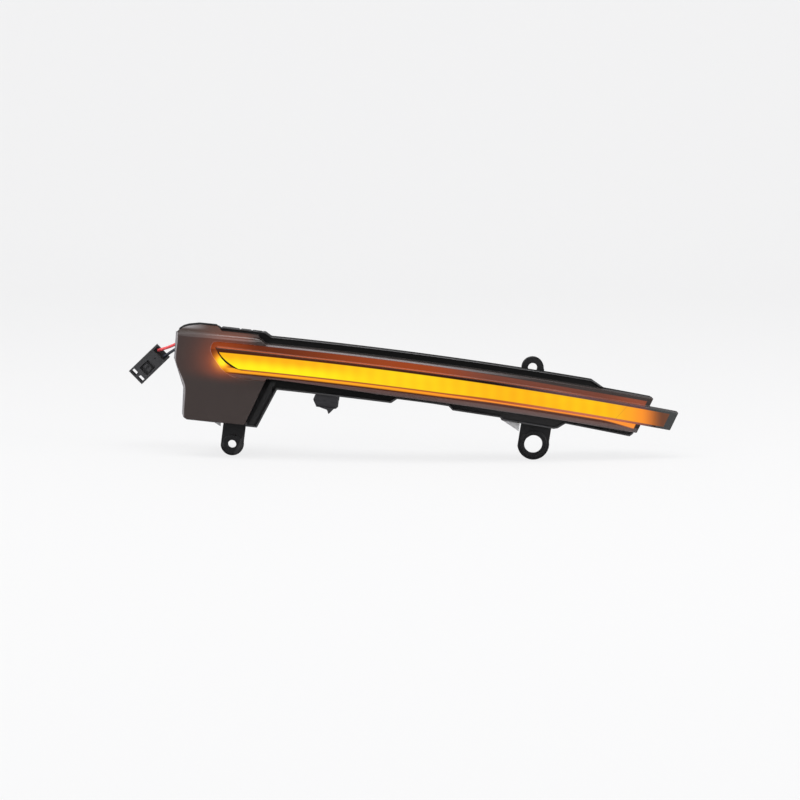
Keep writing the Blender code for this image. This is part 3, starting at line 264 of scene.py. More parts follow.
def lead_points(side):
    """One lead's points. The pair leaves the grommet side by side and spreads at the connector."""
    outwards = Matrix.Rotation(sweep_angle(GROMMET_X), 3, "Z") @ Vector((0, 1, 0))
    root = on_lamp(GROMMET_X, HEAD_REAR, GROMMET_HEIGHT)
    back = Matrix.Rotation(CONNECTOR_ANGLE, 3, "Y") @ Vector((-1, 0, 0))
    entry = behind_head(*CONNECTOR_PLACE) - back * LEAD_ENTRY * MM
    centre = [root + outwards * (GROMMET_TAIL + out) * MM for out in (GAP, LEAD_STRAIGHT)]
    centre += [behind_head(*point) for point in LEAD_ROUTE]
    centre.append(entry)
    path = evenly(smooth(centre), WIRE_POINT_COUNT)
    last = len(path) - 1
    points = []
    for i, place in enumerate(path):
        if i == 0:
            across = outwards.cross(Vector((0, 0, 1)))
        else:
            along = -back if i == last else path[i + 1] - path[i - 1]
            turn = sweep_angle(place.x / MM) * min(1, (last - i) / SPREAD_POINTS)
            flat = along.normalized().cross(Vector((-math.sin(turn), math.cos(turn), 0)))
            across = flat.normalized() if flat.length > 0.5 else across
        spread = (LEAD_SPREAD - WIRE_HALF_PITCH) * max(0, 1 - (last - i) / SPREAD_POINTS) ** 2
        points.append(place + across * side * (WIRE_HALF_PITCH + spread) * MM)
    return points


def make_tube_tree():
    """A node tree that sweeps a round section along a curve and closes its ends."""
    tree = bpy.data.node_groups.new("tube", "GeometryNodeTree")
    tree.interface.new_socket("Path", in_out="INPUT", socket_type="NodeSocketGeometry")
    for name, kind in (("Radius", "Float"), ("Sides", "Int"), ("Skin", "Material")):
        tree.interface.new_socket(name, in_out="INPUT", socket_type="NodeSocket" + kind)
    tree.interface.new_socket("Tube", in_out="OUTPUT", socket_type="NodeSocketGeometry")
    given = tree.nodes.new("NodeGroupInput")
    ring = tree.nodes.new("GeometryNodeCurvePrimitiveCircle")
    sweep = tree.nodes.new("GeometryNodeCurveToMesh")
    sweep.inputs["Fill Caps"].default_value = True
    soft = tree.nodes.new("GeometryNodeSetShadeSmooth")
    real = tree.nodes.new("GeometryNodeRealizeInstances")
    skinned = tree.nodes.new("GeometryNodeSetMaterial")
    result = tree.nodes.new("NodeGroupOutput")
    for source, target in (
        (given.outputs["Path"], sweep.inputs["Curve"]),
        (given.outputs["Radius"], ring.inputs["Radius"]),
        (given.outputs["Sides"], ring.inputs["Resolution"]),
        (ring.outputs[0], sweep.inputs["Profile Curve"]),
        (sweep.outputs[0], soft.inputs[0]),
        (soft.outputs[0], real.inputs[0]),
        (real.outputs[0], skinned.inputs[0]),
        (given.outputs["Skin"], skinned.inputs["Material"]),
        (skinned.outputs[0], result.inputs[0]),
    ):
        tree.links.new(source, target)
    return tree


def plain_mesh(carrier, name):
    """The carrier with its modifiers, turned into one plain mesh object."""
    graph = bpy.context.evaluated_depsgraph_get()
    mesh = bpy.data.meshes.new_from_object(carrier.evaluated_get(graph), depsgraph=graph)
    mesh.name = name
    bpy.data.objects.remove(carrier)
    piece = bpy.data.objects.new(name, mesh)
    bpy.context.scene.collection.objects.link(piece)
    return piece


def grown(name, data, tree, sizes):
    """What a node tree makes from a curve or a mesh, as one plain mesh object."""
    carrier = bpy.data.objects.new(name + "_carrier", data)
    bpy.context.scene.collection.objects.link(carrier)
    modifier = carrier.modifiers.new(tree.name, "NODES")
    modifier.node_group = tree
    for socket in tree.interface.items_tree:
        if socket.name in sizes:
            modifier[socket.identifier] = sizes[socket.name]
    return plain_mesh(carrier, name)


tube_tree = make_tube_tree()
wires, lines = {}, {}
for colour, side, skin in (("red", -1, red_pvc), ("black", 1, black_pvc)):
    line = smooth(lead_points(side), WIRE_STEPS)
    curve = bpy.data.curves.new("lead", "CURVE")
    curve.dimensions = "3D"
    spline = curve.splines.new("POLY")
    spline.points.add(len(line) - 1)
    for point, spot in zip(spline.points, line):
        point.co = (*spot, 1)
    sizes = {"Radius": WIRE_RADIUS * MM, "Sides": WIRE_SIDES, "Skin": skin}
    wires[colour] = grown("lead_" + colour, curve, tube_tree, sizes)
    lines[colour] = line
    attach(wires[colour], "root")
    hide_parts("wire_" + colour)
    colour + "_insulation"


# The connector is a two-way plug body moulded in black nylon, with a collar round its wire end, a pocket
# with a small lock slide, and two windows through the far end, where the mating plug latches.
WELD = 0.002
SHARP = math.radians(30)
WINDOW_WALL = 21.22
WINDOW_WALL_REACH = 0.02


def rounded(node, name, skin, width, segments=2, prepare=None, clean=None, melt=0.4):
    """A CAD node's solid with its flat faces made whole and its edges rounded, as one plain mesh."""
    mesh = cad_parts[node].data.copy()
    shape = bmesh.new()
    shape.from_mesh(mesh)
    bmesh.ops.remove_doubles(shape, verts=shape.verts, dist=WELD * MM)
    if prepare:
        prepare(shape)
    bmesh.ops.dissolve_limit(shape, angle_limit=math.radians(melt), verts=shape.verts, edges=shape.edges)
    if clean:
        clean(shape)
    shape.to_mesh(mesh)
    shape.free()
    mesh.materials.clear()
    mesh.materials.append(skin)
    for face in mesh.polygons:
        face.use_smooth = True
        face.material_index = 0
    carrier = bpy.data.objects.new(name + "_carrier", mesh)
    bpy.context.scene.collection.objects.link(carrier)
    edge = carrier.modifiers.new("edge", "BEVEL")
    edge.width = width * MM
    edge.segments = segments
    edge.limit_method = "ANGLE"
    edge.angle_limit = SHARP
    edge.use_clamp_overlap = prepare is None
    piece = plain_mesh(carrier, name)
    if prepare:
        bend(piece.data)
    even = piece.modifiers.new("even", "WEIGHTED_NORMAL")
    even.keep_sharp = False
    piece = plain_mesh(piece, name)
    piece.data.validate()
    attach(piece, "root")
    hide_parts(node)
    return piece


@finish
def black_nylon(place):
    grain = place.noise(1500, 3, 0.6)
    marks = place.noise(260, 4, 0.6)
    return {
        "Base Color": marks.mix((0.028, 0.028, 0.030), (0.050, 0.050, 0.053)),
        "Roughness": marks * 0.2 + 0.3,
        "Normal": grain.bump(0.15, 0.04),
    }


@finish
def tinned_brass(place):
    brushed = place.stretched(1, 1, 8).noise(1800, 3)
    return {
        "Base Color": brushed.mix((0.52, 0.48, 0.38), (0.76, 0.72, 0.62)),
        "Metallic": 1.0,
        "Roughness": brushed * 0.2 + 0.25,
        "Normal": brushed.bump(0.2, 0.02),
    }


def dress(node, skin):
    """Gives a CAD node whose shape is right a better material."""
    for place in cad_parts[node].material_slots:
        place.material = skin
    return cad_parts[node]


def open_window(shape):
    """Fills the inside of the front wall again round the black lead's window, which CAD triangles cross."""
    across = Matrix.Rotation(CONNECTOR_ANGLE, 3, "Y") @ Vector((0, 0, 1))
    middle = behind_head(*CONNECTOR_PLACE) @ across
    inner = [
        face for face in shape.faces
        if all(abs(v.co.y - WINDOW_WALL * MM) < WINDOW_WALL_REACH * MM for v in face.verts)
        and face.calc_center_median() @ across > middle
    ]
    rim = [edge for edge in shape.edges if sum(face in inner for face in edge.link_faces) == 1]
    bmesh.ops.delete(shape, geom=inner, context="FACES_KEEP_BOUNDARY")
    rim = [edge for edge in rim if edge.is_valid]
    bmesh.ops.triangle_fill(shape, edges=rim, use_beauty=True, use_dissolve=False, normal=(0, 1, 0))


connector = rounded("connector_housing", "connector_body", black_nylon, 0.3, clean=open_window)
lock = dress("connector_lock", black_nylon)
terminals = [dress("terminal_red", tinned_brass), dress("terminal_black", tinned_brass)]
for colour, carried in (("red", [connector, lock, terminals[0]]), ("black", [terminals[1]])):
    line = lines[colour]
    sum((b - a).length for a, b in zip(line, line[1:]))


# The housing is one black ABS moulding: the tub behind the head and the strip, the flange that the lens
# sits on, two tabs and an eye for its fixings, and the ribs that stiffen it. Its skin has a fine grain,
# spark-eroded in the mould. Painted into its colour are a highlight along the flange's lip and on the
# slanted flange's edge, light on the lower flange, and shade in the channel round the strip.
BEND_STEP = 3.1
BEND_CUTS = range(-10, 72)
CUT_REACH = 0.001


def bend_offset(x):
    """How far the lamp's bend moves a point that is x metres along it."""
    return on_lamp(x / MM, 0, 0) - Vector((x, 0, 0))


def straighten(shape):
    """Takes the lamp's bend out of a shape, so that its long faces are flat."""
    for vertex in shape.verts:
        vertex.co -= bend_offset(vertex.co.x)


def bend(mesh):
    """Cuts a straight mesh across every few millimetres and moves it onto the lamp's curve."""
    shape = bmesh.new()
    shape.from_mesh(mesh)
    for step in BEND_CUTS:
        bmesh.ops.bisect_plane(
            shape, geom=shape.verts[:] + shape.edges[:] + shape.faces[:], dist=CUT_REACH * MM,
            plane_co=(step * BEND_STEP * MM, 0, 0), plane_no=(1, 0, 0),
        )
    for vertex in shape.verts:
        vertex.co += bend_offset(vertex.co.x)
    shape.to_mesh(mesh)
    shape.free()


def along_and_high(place):
    """How far along the lamp a place is, how high above the bar's line, and how deep, in millimetres."""
    x, y, z = place.axes()
    high = z - CENTRE_HEIGHT + SLOPE * x + x * x / DROOP
    past = x - SWEEP_CREST
    deep = y + SWEEP_START - (past * past - SWEEP_CREST ** 2) / (2 * SWEEP_RADIUS)
    return x, high, deep


@finish
def black_abs(place):
    """Black, with painted shade darkest in the channel round the strip, and paler on the flanges as painted
    light.
    """
    x, high, deep = along_and_high(place)
    # Painted highlight: the flange's lip is paler, as if it caught the light.
    painted_lip_highlight = deep.band(9.4, 10.1, 0.3)
    # Painted light: the lower flange towards the tip is paler.
    painted_lower_flange_light = high.band(-13.5, -8.5, 0.5) * x.rise(95, 130)
    # Painted shade: the channel round the strip is near black.
    channel = high.band(-14, 14, 0.5) * x.rise(12, 18) * deep.rise(12.5, 11.5)
    # Painted highlight: the slanted flange's edge is paler.
    slope = (x - high * 0.5).band(23.3, 25.8, 0.4) * high.rise(-9, -11) * x.rise(30, 25)
    grain = place.noise(2200, 3, 0.7)
    broad = place.noise(90, 4, 0.6)
    flow = place.stretched(1, 1, 5).noise(160, 3)
    black = broad.mix((0.007, 0.007, 0.0078), (0.013, 0.013, 0.0142))
    black = slope.mix(channel.mix(black, (0.001, 0.001, 0.001)), (0.026, 0.026, 0.027))
    black = painted_lower_flange_light.mix(black, (0.022, 0.021, 0.022))
    return {
        "Base Color": painted_lip_highlight.mix(black, (0.05, 0.05, 0.052)),
        "Specular IOR Level": 0.42,
        "Roughness": broad * 0.12 + flow * 0.1 + 0.3,
        "Normal": (grain * 0.7 + flow * 0.3).bump(0.22, 0.06),
    }


housing = rounded("rear_housing", "housing", black_abs, 0.3, prepare=straighten, melt=1.0)


# The snap clip is a separate barb moulded in black acetal, pushed on the housing's tongue. The open clip on
# the back of the head is glued there and holds the two leads.
@finish
def black_acetal(place):
    grain = place.noise(1400, 3, 0.6)
    broad = place.noise(300, 3)
    return {
        "Base Color": broad.mix((0.024, 0.024, 0.027), (0.042, 0.041, 0.046)),
        "Roughness": broad * 0.2 + 0.26,
        "Normal": grain.bump(0.12, 0.04),
    }


barb = rounded("snap_clip", "barb", black_acetal, 0.3)
keeper = rounded("wire_clip", "lead_keeper", black_acetal, 0.2)


# The grommet where the leads come out and the vent's cap are black rubber, dusted with talc from their
# moulds. The seal is a bead of black sealant between the lens and the flange.
@finish
def black_rubber(place):
    speck = place.noise(1100, 4, 0.7)
    dust = place.noise(180, 4, 0.6)
    return {
        "Base Color": (speck * dust).mix((0.010, 0.010, 0.010), (0.045, 0.045, 0.047)),
        "Roughness": dust * 0.25 + 0.55,
        "Normal": speck.bump(0.3, 0.06),
    }


for node in ("cable_grommet", "vent_cap", "lens_seal"):
    dress(node, black_rubber)


# The circuit board is a strip of glass laminate under green solder mask that widens to a pad behind the
# head. Copper tracks show as lighter, raised lines under the mask, and the woven glass as a faint grid.
@finish
def solder_mask(place):
    x, _, z = place.axes()
    weave = (x * 9).maths("SINE", x * 9) * (z * 9).maths("SINE", z * 9)
    tracks = (z + 0.06 * x).maths("PINGPONG", z + 0.06 * x, 1.1).band(0.35, 0.8, 0.1)
    return {
        "Base Color": tracks.mix((0.008, 0.075, 0.030), (0.016, 0.125, 0.052)),
        "Roughness": weave * 0.05 + 0.34,
        "Coat Weight": 0.3,
        "Normal": (tracks + weave * 0.1).bump(0.4, 0.05),
    }


dress("led_board", solder_mask)


# The driver's parts stand on the pad: a chip, a diode and two resistors in moulded black epoxy, a shielded
# coil of grey ferrite, and two round capacitors in aluminium cans.
@finish
def black_epoxy(place):
    grain = place.noise(2600, 3, 0.8)
    return {
        "Base Color": grain.mix((0.010, 0.010, 0.010), (0.030, 0.030, 0.031)),
        "Roughness": grain * 0.2 + 0.5,
        "Normal": grain.bump(0.3, 0.03),
    }


@finish
def grey_ferrite(place):
    grain = place.noise(3000, 4, 0.8)
    return {
        "Base Color": grain.mix((0.05, 0.048, 0.045), (0.10, 0.097, 0.09)),
        "Roughness": grain * 0.2 + 0.6,
        "Normal": grain.bump(0.4, 0.04),
    }


@finish
def aluminium_can(place):
    drawn = place.stretched(1, 12, 1).noise(900, 3)
    return {
        "Base Color": drawn.mix((0.60, 0.60, 0.59), (0.80, 0.80, 0.79)),
        "Metallic": 1.0,
        "Roughness": drawn * 0.2 + 0.25,
        "Normal": drawn.bump(0.15, 0.02),
    }


for node in ("driver_chip", "input_diode", "sense_resistor_a", "sense_resistor_b"):
    dress(node, black_epoxy)
dress("power_coil", grey_ferrite)
for node in ("input_capacitor", "output_capacitor"):
    dress(node, aluminium_can)


# Four pan-head screws hold the board to posts in the housing. They are steel, with a zinc plating that is
# slightly cloudy.
@finish
def zinc_plate(place):
    cloud = place.noise(500, 4, 0.6)
    return {
        "Base Color": cloud.mix((0.48, 0.49, 0.47), (0.68, 0.68, 0.64)),
        "Metallic": 1.0,
        "Roughness": cloud * 0.25 + 0.25,
        "Normal": cloud.bump(0.1, 0.03),
    }


for number in range(1, 5):
    dress(f"board_screw_{number}", zinc_plate)


# The reflector is a long tray moulded in white polycarbonate. Its floor has a pocket for each LED, and its
# mouth faces the light bar.
@finish
def white_polycarbonate(place):
    cloud = place.noise(400, 3)
    return {
        "Base Color": cloud.mix((0.74, 0.74, 0.72), (0.84, 0.84, 0.83)),
        "Roughness": cloud * 0.15 + 0.4,
        "Normal": cloud.bump(0.1, 0.03),
    }


dress("reflector_strip", white_polycarbonate)


# Each of the 28 LEDs is a white package with a round, slightly domed amber window. They are soldered in one
# row on the front of the curved board, an equal distance apart, each square to it.
LED_COUNT = 28
LED_WIDE, LED_DEEP, LED_TALL = 2.8, 1.4, 3.0
LED_BODY, LED_BODY_SHIFT = 0.86, 0.07
LED_BEVEL = 0.15
LED_WINDOW = 1.05
LED_SIDES = 16
LED_DOME = ((1.12, -0.36), (1.0, -0.43), (0.8, -0.47), (0.45, -0.495))


@finish
def led_package(place):
    cloud = place.noise(2000, 3)
    return {
        "Base Color": cloud.mix((0.72, 0.70, 0.64), (0.85, 0.83, 0.78)),
        "Roughness": cloud * 0.2 + 0.35,
        "Normal": cloud.bump(0.1, 0.02),
    }


@finish
def led_phosphor(place):
    cloud = place.noise(3000, 3)
    return {
        "Base Color": cloud.mix((0.85, 0.38, 0.02), (0.95, 0.50, 0.05)),
        "Roughness": 0.3,
        "Emission Color": cloud.mix((1.0, 0.35, 0.01), (1.0, 0.45, 0.03)),
        "Emission Strength": 1.5,
    }


def led_mesh():
    """One LED, centred, facing -y: a bevelled package with a shallow domed window."""
    shape = bmesh.new()
    bmesh.ops.create_cube(shape, size=1.0)
    bmesh.ops.scale(shape, vec=(LED_WIDE * MM, LED_DEEP * LED_BODY * MM, LED_TALL * MM), verts=shape.verts)
    bmesh.ops.translate(shape, vec=(0, LED_DEEP * LED_BODY_SHIFT * MM, 0), verts=shape.verts)
    bmesh.ops.bevel(
        shape, geom=shape.edges[:], offset=LED_BEVEL * MM, segments=2, profile=0.5, affect="EDGES",
        clamp_overlap=True,
    )
    before = set(shape.faces)
    rings = []
    for radius, depth in LED_DOME:
        ring = []
        for i in range(LED_SIDES):
            angle = math.tau * i / LED_SIDES
            wide, tall = math.cos(angle) * radius * LED_WINDOW, math.sin(angle) * radius * LED_WINDOW
            ring.append(shape.verts.new((wide * MM, depth * LED_DEEP * MM, tall * MM)))
        rings.append(ring)
    for outer, inner in zip(rings, rings[1:]):
        for i in range(LED_SIDES):
            j = (i + 1) % LED_SIDES
            shape.faces.new((outer[i], outer[j], inner[j], inner[i]))
    shape.faces.new(rings[-1])
    shape.faces.new(rings[0][::-1])
    dome = [face for face in shape.faces if face not in before]
    bmesh.ops.recalc_face_normals(shape, faces=dome)
    for face in dome:
        face.material_index = 1
        face.smooth = True
    mesh = bpy.data.meshes.new("led")
    shape.to_mesh(mesh)
    shape.free()
    mesh.materials.append(led_package)
    mesh.materials.append(led_phosphor)
    return mesh


def make_row_tree(model):
    """A node tree that stands a copy of the model on each point, turned to face out of the curved board."""
    tree = bpy.data.node_groups.new("row", "GeometryNodeTree")
    tree.interface.new_socket("Places", in_out="INPUT", socket_type="NodeSocketGeometry")
    for name in ("Crest", "Radius"):
        tree.interface.new_socket(name, in_out="INPUT", socket_type="NodeSocketFloat")
    tree.interface.new_socket("Row", in_out="OUTPUT", socket_type="NodeSocketGeometry")
    given = tree.nodes.new("NodeGroupInput")
    place = tree.nodes.new("GeometryNodeInputPosition")
    axes = tree.nodes.new("ShaderNodeSeparateXYZ")
    past = tree.nodes.new("ShaderNodeMath")
    past.operation = "SUBTRACT"
    slope = tree.nodes.new("ShaderNodeMath")
    slope.operation = "DIVIDE"
    turn = tree.nodes.new("ShaderNodeMath")
    turn.operation = "ARCTANGENT"
    angles = tree.nodes.new("ShaderNodeCombineXYZ")
    stood = tree.nodes.new("GeometryNodeInstanceOnPoints")
    source = tree.nodes.new("GeometryNodeObjectInfo")
    source.inputs["Object"].default_value = model
    real = tree.nodes.new("GeometryNodeRealizeInstances")
    result = tree.nodes.new("NodeGroupOutput")
    for output, target in (
        (place.outputs[0], axes.inputs[0]),
        (axes.outputs["X"], past.inputs[0]),
        (given.outputs["Crest"], past.inputs[1]),
        (past.outputs[0], slope.inputs[0]),
        (given.outputs["Radius"], slope.inputs[1]),
        (slope.outputs[0], turn.inputs[0]),
        (turn.outputs[0], angles.inputs["Z"]),
        (given.outputs["Places"], stood.inputs["Points"]),
        (source.outputs["Geometry"], stood.inputs["Instance"]),
        (angles.outputs[0], stood.inputs["Rotation"]),
        (stood.outputs[0], real.inputs[0]),
        (real.outputs[0], result.inputs[0]),
    ):
        tree.links.new(output, target)
    return tree


led_names = [f"led_{number:02d}" for number in range(1, LED_COUNT + 1)]
centres = []
for node in led_names:
    low, high = (Vector(corner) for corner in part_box(node))
    centres.append((low + high) / 2)
places = bpy.data.meshes.new("led_places")
places.from_pydata(centres, [], [])
model = bpy.data.objects.new("led_model", led_mesh())
bpy.context.scene.collection.objects.link(model)
board_curve = {"Crest": SWEEP_CREST * MM, "Radius": SWEEP_RADIUS * MM}
led_row = grown("led_row", places, make_row_tree(model), board_curve)
bpy.data.objects.remove(model)
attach(led_row, "root")
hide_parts(*led_names)


# The bezel is a matt black mask close behind the lens. The light bar stands through its slot: a rod of
# amber diffusing acrylic that the LEDs fill with light, a little brighter in front of each of them.
@finish
def matt_mask(place):
    grain = place.noise(2400, 3, 0.7)
    return {
        "Base Color": grain.mix((0.010, 0.009, 0.009), (0.020, 0.018, 0.017)),
        "Roughness": grain * 0.2 + 0.55,
        "Normal": grain.bump(0.2, 0.04),
    }


LED_FIRST, LED_LAST = 3.0, 183.0
LED_PITCH = (LED_LAST - LED_FIRST) / (LED_COUNT - 1)


def before_led(x):
    """1 in front of each LED, and 0 halfway between two."""
    turns = (x - LED_FIRST) * (math.tau / LED_PITCH)
    return turns.maths("COSINE", turns) * 0.5 + 0.5


@finish
def lit_amber(place):
    """The lit bar, yellow below and orange above, and dimmer towards the tip."""
    x, high, _ = along_and_high(place)
    fade = x.rise(204, 187)
    upper = high.rise(-1.2, 2.4)
    glow = upper.mix((1.0, 0.66, 0.004), (1.0, 0.42, 0.004))
    dimmed = (fade * (before_led(x) * 0.08 + 0.92)).mix((0.34, 0.10, 0.03), glow)
    return {
        "Base Color": (0.9, 0.45, 0.03),
        "Roughness": 0.3,
        "Emission Color": dimmed,
        "Emission Strength": 1.5,
    }


dress("light_bezel", matt_mask)
dress("light_bar", lit_amber)


# The lens is one moulding of smoked acrylic: the head with its rolled top, the long strip, and the rib that
# stands proud over the light bar. The lens is opaque, and its light is painted on: the bar's glow on the
# rib's face inside a dark border, an orange glow where light would leak inside the lens, brightest round
# the rib's left end, and painted highlights along its edges.
ACRYLIC_IOR = 1.49
TIP_LEAN = 0.45
SEAM_LEAN = 0.8
RIB_FOOT = 3.0
CREASE_HEIGHT, CREASE_DEPTH = 10.3, 3.2
CREASE_REACH = 0.1
CREASE_ROUND = 1.5


def leaning(x, high, lean):
    """How far along a place is, measured between lines that lean as the tip does."""
    return x - high * lean


@finish
def lit_rib(place):
    """The rib, with its light painted on: the lit bar's glow in its dark border, redder towards the tip, and
    the glow of the light that leaks round it.
    """
    x, high, deep = along_and_high(place)
    front = deep.rise(0.5, 0.2)
    left_end = high * -1.2 + high * high * 0.117 - 2.85
    along = leaning(x, high, TIP_LEAN)
    above_line = (high - x.rise(95, 125) * 0.4).rise(-4.05, -3.75)
    # Painted glow: the rib's opaque face itself glows where the bar would shine through.
    bar = above_line * high.rise(3.4, 3.1) * (x - left_end).rise(-0.2, 0.25)
    bar = bar * along.rise(207.1, 206.7) * front
    onward = x.rise(30, 80)
    low = high.rise(2.6, -3.2) * (1 - onward)
    low = low + (0.46 - x.rise(90, 126) * 0.36 + x.rise(140, 160) * 0.1) * onward
    cloud = place.stretched(1, 1, 3).noise(70, 2) - 0.5
    low = low + before_led(x) * 0.1 - 0.06 + cloud * 0.25
    glow = low.mix((1.0, 0.46, 0.006), (1.0, 0.88, 0.009))
    glow = x.rise(174, 201).mix(glow, (1.0, 0.27, 0.03))
    seam = leaning(x, high, SEAM_LEAN).band(184.6, 184.95, 0.25) * 0.22
    fade = x.rise(205.2, 193.6) * (1 - seam)
    lit = fade.mix((0.16, 0.062, 0.033), glow)
    # Painted highlight: the rib's top side glows orange.
    painted_top_highlight = deep.band(0.6, 3.9, 0.3) * high.rise(4.2, 4.5) * x.rise(-8, -5) * x.rise(196, 150)
    painted_top_highlight = painted_top_highlight * (1 - x.rise(90, 125) * 0.55)
    # Painted glow below the bar's line and along the border.
    below = (1 - above_line) * along.rise(206, 180) * x.rise(2, 8)
    border = front * high.rise(3.1, 3.3) * x.rise(140, 60) * 0.12 + below * 0.8
    frame_tone = x.rise(120, 165).mix((0.004, 0.002, 0.002), (0.085, 0.042, 0.043))
    frame_tone = x.rise(194, 200).mix(frame_tone, (0.040, 0.042, 0.042))
    edge = (painted_top_highlight * 0.75 + border).mix((0, 0, 0), (0.55, 0.12, 0.03))
    # Painted glow at the rib's left end.
    painted_left_end_glow = deep.rise(0.4, 0.9) * x.rise(12, 4) * high.rise(3.5, 0.5)
    edge = painted_left_end_glow.mix(edge, (0.95, 0.34, 0.012))
    return {
        "Base Color": bar.mix(frame_tone, (0.004, 0.002, 0.002)),
        "Roughness": place.noise(60, 2) * 0.05 + 0.1,
        "IOR": ACRYLIC_IOR,
        "Specular IOR Level": 0.3,
        "Emission Color": bar.mix(edge, lit),
        "Emission Strength": 1.0,
    }


@finish
def smoked_acrylic(place):
    """Smoke with painted light: an orange glow where light inside would tint it, a bright spot by the rib's
    left end, and pale edges as painted highlights.
    """
    x, high, deep = along_and_high(place)
    on_panel = deep.band(3.85, 4.7, 0.2)
    inside = leaning(x, high, TIP_LEAN).rise(194.8, 194.2)
    # Painted glow: orange bands above and below the rib, a hot spot and halo by its left end, and a faint
    # tint on the head's upper part and its crease.
    top = high.rise(3.8, 4.3) * (high + x.rise(100, 170) * 0.7).rise(7.8, 7.3) * on_panel * inside
    painted_top_glow = top * (x.rise(15, 80) * 0.65 + 0.45)
    painted_top_glow = painted_top_glow * (1 - x.rise(92, 125) * 0.56 + x.rise(175, 192) * 0.3)
    end = x.rise(175, 195) * 1.7 - x.rise(95, 125) * 0.5
    under = (high + end).rise(-6.7, -5.9) * high.rise(-4.0, -4.5) * x.rise(-4, 0) * on_panel * inside
    painted_under_glow = high.band(-8.6, -5.5, 2.4) * on_panel * inside * x.rise(-2, 20)
    to_spot = ((x + 4.6) ** 2 + (high + 1.7) ** 2) ** 0.5
    spot = (to_spot * to_spot).fall(9)
    painted_halo = to_spot.fall(5.0) * high.rise(-13.0, -5.5)
    head = x.rise(14, 6)
    upper = high.rise(1, 9) * x.rise(-20, 4) * head
    roll = high.rise(10.3, 11.3) * head
    crease = high.band(9.2, 11.6, 0.8) * head
    orange = painted_top_glow * 0.29 + painted_under_glow * 0.05 + painted_halo * 0.66 * head + upper * 0.05
    orange = orange + crease * x.rise(-16, 4) * 0.045
    bright = spot * head * (on_panel * 1.6 + 0.9) + under
    warm = orange.mix((0, 0, 0), (1.0, 0.155, 0.02))
    hot = bright.mix(warm, x.rise(60, 125).mix((1.0, 0.38, 0.012), (1.0, 0.28, 0.015)))
    # Painted highlight: a pale line round the step of the panel.
    painted_groove_highlight = deep.band(3.3, 4.05, 0.15) * x.rise(16, 12) * high.band(-8.5, 8.7, 0.4)
    smoke = painted_groove_highlight.mix((0.040, 0.031, 0.029), (0.22, 0.17, 0.18))
    smoke = (on_panel * x.rise(120, 90)).mix(smoke, (0.012, 0.006, 0.005))
    # Painted highlight: pale lines along the strip's top and bottom edges, fading towards the tip.
    edge = high.band(7.6, 8.35, 0.3) * x.rise(150, 90) * x.rise(12, 20)
    edge = edge + high.rise(-6.8, -7.3) * on_panel * 0.25
    smoke = (edge * deep.rise(3.9, 4.1)).mix(smoke, (0.24, 0.22, 0.225))
    # Painted light: pale along the head's left edge, where light comes through the clear rim.
    left = high.rise(-2.2, 9.2) * 1.1 + high.rise(-2.2, -16.1) * 4.4
    left = left - high.rise(-16.1, -28.7) * 0.8 - 27.6
    smoke = ((x - left).rise(0.75, 0.4) * high.rise(12, 10)).mix(smoke, (0.24, 0.225, 0.23))
    # Painted reflection: pale grey on the rolled top's far left end.
    painted_crown_reflection = (high.rise(12.2, 13.6) * x.rise(-10, -25)).mix((0.042, 0.034, 0.030), (0.24, 0.23, 0.235))
    return {
        "Base Color": roll.mix(smoke, painted_crown_reflection),
        "Roughness": place.noise(60, 2) * 0.05 + 0.12 + crease * x.rise(6, -20) * 0.3,
        "IOR": ACRYLIC_IOR,
        "Specular IOR Level": 0.45,
        "Emission Color": (spot * on_panel * head).rise(0.3, 0.9).mix(hot, (1.0, 0.85, 0.02)),
        "Emission Strength": 1.0,
    }


def round_crease(shape):
    """Rounds the long crease where the head's face turns into its rolled top, wider than the other edges."""
    crease = [
        edge for edge in shape.edges
        if all(
            abs(v.co.z - CREASE_HEIGHT * MM) < CREASE_REACH * MM
            and abs(v.co.y - CREASE_DEPTH * MM) < CREASE_REACH * MM for v in edge.verts
        )
    ]
    bmesh.ops.bevel(
        shape, geom=crease, offset=CREASE_ROUND * MM, offset_type="OFFSET", segments=5, profile=0.5,
        affect="EDGES", clamp_overlap=False,
    )


lens = rounded("outer_lens", "lens", smoked_acrylic, 0.35, 3, straighten, round_crease)
lens.data.materials.append(lit_rib)
for face in lens.data.polygons:
    if (face.center - bend_offset(face.center.x)).y < RIB_FOOT * MM:
        face.material_index = 1


# The lens's foot is clear: a thin rim that stands proud of the head's left side and bottom, with a fin
# beside the screw tab, and a thin wedge in the corner between the lower flange and the ring tab.
@finish
def clear_acrylic(place):
    """Clear, with faint streaks along the rim, and a little paler in the wedge."""
    streak = place.noise(300, 2)
    wedge = along_and_high(place)[0].rise(60, 100)
    rim = streak.mix((0.24, 0.24, 0.25), (0.32, 0.32, 0.33))
    return {
        "Base Color": wedge.mix(rim, (0.44, 0.44, 0.45)),
        "Roughness": streak * 0.06 + 0.06,
        "Alpha": 0.8,
    }


dress("clear_rim", clear_acrylic)
dress("clear_wedge", clear_acrylic)


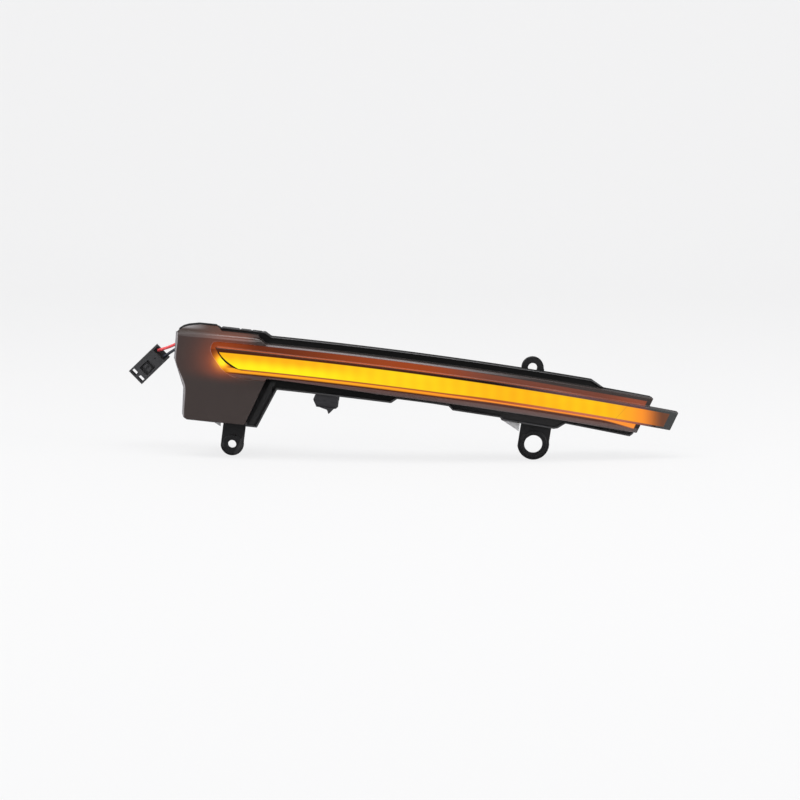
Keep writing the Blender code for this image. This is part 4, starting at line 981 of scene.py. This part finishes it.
# The lamp stands on its two tabs on pale card that curves up behind it. A wide soft box hangs over it,
# smaller ones stand at the front left and at the right, and an even white room is round it all. The sizes
# here are in metres.
FLOOR_HEIGHT = -12.1 * MM
CARD_HALF_WIDTH = 2.0
CARD_FRONT, CARD_BACK, CARD_TOP = -1.6, 0.9, 2.5
CARD_BEND = 0.5
card = bmesh.new()
profile = [(CARD_FRONT, 0.0), (CARD_BACK, 0.0)]
for turn in map(math.radians, range(10, 91, 10)):
    profile.append((CARD_BACK + CARD_BEND * math.sin(turn), CARD_BEND - CARD_BEND * math.cos(turn)))
profile.append((CARD_BACK + CARD_BEND, CARD_TOP))
sides = [
    [card.verts.new((x, y, z + FLOOR_HEIGHT)) for y, z in profile]
    for x in (-CARD_HALF_WIDTH, CARD_HALF_WIDTH)
]
for i in range(len(profile) - 1):
    card.faces.new((sides[0][i], sides[1][i], sides[1][i + 1], sides[0][i + 1])).smooth = True
card_mesh = bpy.data.meshes.new("card")
card.to_mesh(card_mesh)
card.free()
backdrop = bpy.data.objects.new("backdrop", card_mesh)
bpy.context.scene.collection.objects.link(backdrop)


@finish
def pale_card(place):
    fibre = place.noise(900, 3)
    return {
        "Base Color": fibre.mix((0.86, 0.86, 0.86), (0.88, 0.88, 0.88)),
        "Roughness": 0.8,
        "Specular IOR Level": 0.2,
    }


tree = pale_card.node_tree
rays = tree.nodes.new("ShaderNodeLightPath")
seen, mirrored = Value(tree, rays.outputs["Is Camera Ray"]), Value(tree, rays.outputs["Is Glossy Ray"])
shade = mirrored.mix((0.90, 0.90, 0.905), (0.16, 0.16, 0.165))
glow = seen.node("ShaderNodeEmission", {}, {"Color": shade, "Strength": 1.0})
lit = Value(tree, tree.nodes["Principled BSDF"].outputs[0])
shown = seen.node("ShaderNodeMixShader", {}, {0: seen * 0.87 + mirrored, 1: lit, 2: glow})
tree.links.new(shown.socket, tree.nodes["Material Output"].inputs["Surface"])
card_mesh.materials.append(pale_card)


def soft_box(name, place, aim, wide, high, power):
    """A flat lamp that faces a point."""
    lamp = bpy.data.lights.new(name, "AREA")
    lamp.shape = "RECTANGLE"
    lamp.size, lamp.size_y = wide, high
    lamp.energy = power
    box = bpy.data.objects.new(name, lamp)
    box.location = place
    box.rotation_euler = (Vector(aim) - Vector(place)).to_track_quat("-Z", "Y").to_euler()
    bpy.context.scene.collection.objects.link(box)


soft_box("top_box", (0.05, -0.28, 0.9), (0.08, 0, 0), 1.3, 0.36, 9)
soft_box("front_box", (-0.7, -0.9, 0.6), (0.05, 0, 0.02), 0.6, 0.6, 3)
soft_box("side_box", (0.95, -0.45, 0.3), (0.08, 0, 0.01), 0.5, 0.5, 4)

world = bpy.data.worlds.new("room")
bpy.context.scene.world = world
world.use_nodes = True
tree = world.node_tree
rays = tree.nodes.new("ShaderNodeLightPath")
mirrored, seen, through = [
    Value(tree, rays.outputs[name]) for name in ("Is Glossy Ray", "Is Camera Ray", "Is Transmission Ray")
]
room = mirrored.mix((0.62, 0.62, 0.63), (0.22, 0.22, 0.225))
shown = seen.maths("MAXIMUM", seen, through).mix(room, (0.91, 0.915, 0.92))
tree.links.new(shown.socket, tree.nodes["Background"].inputs["Color"])

bpy.context.view_layer.update()
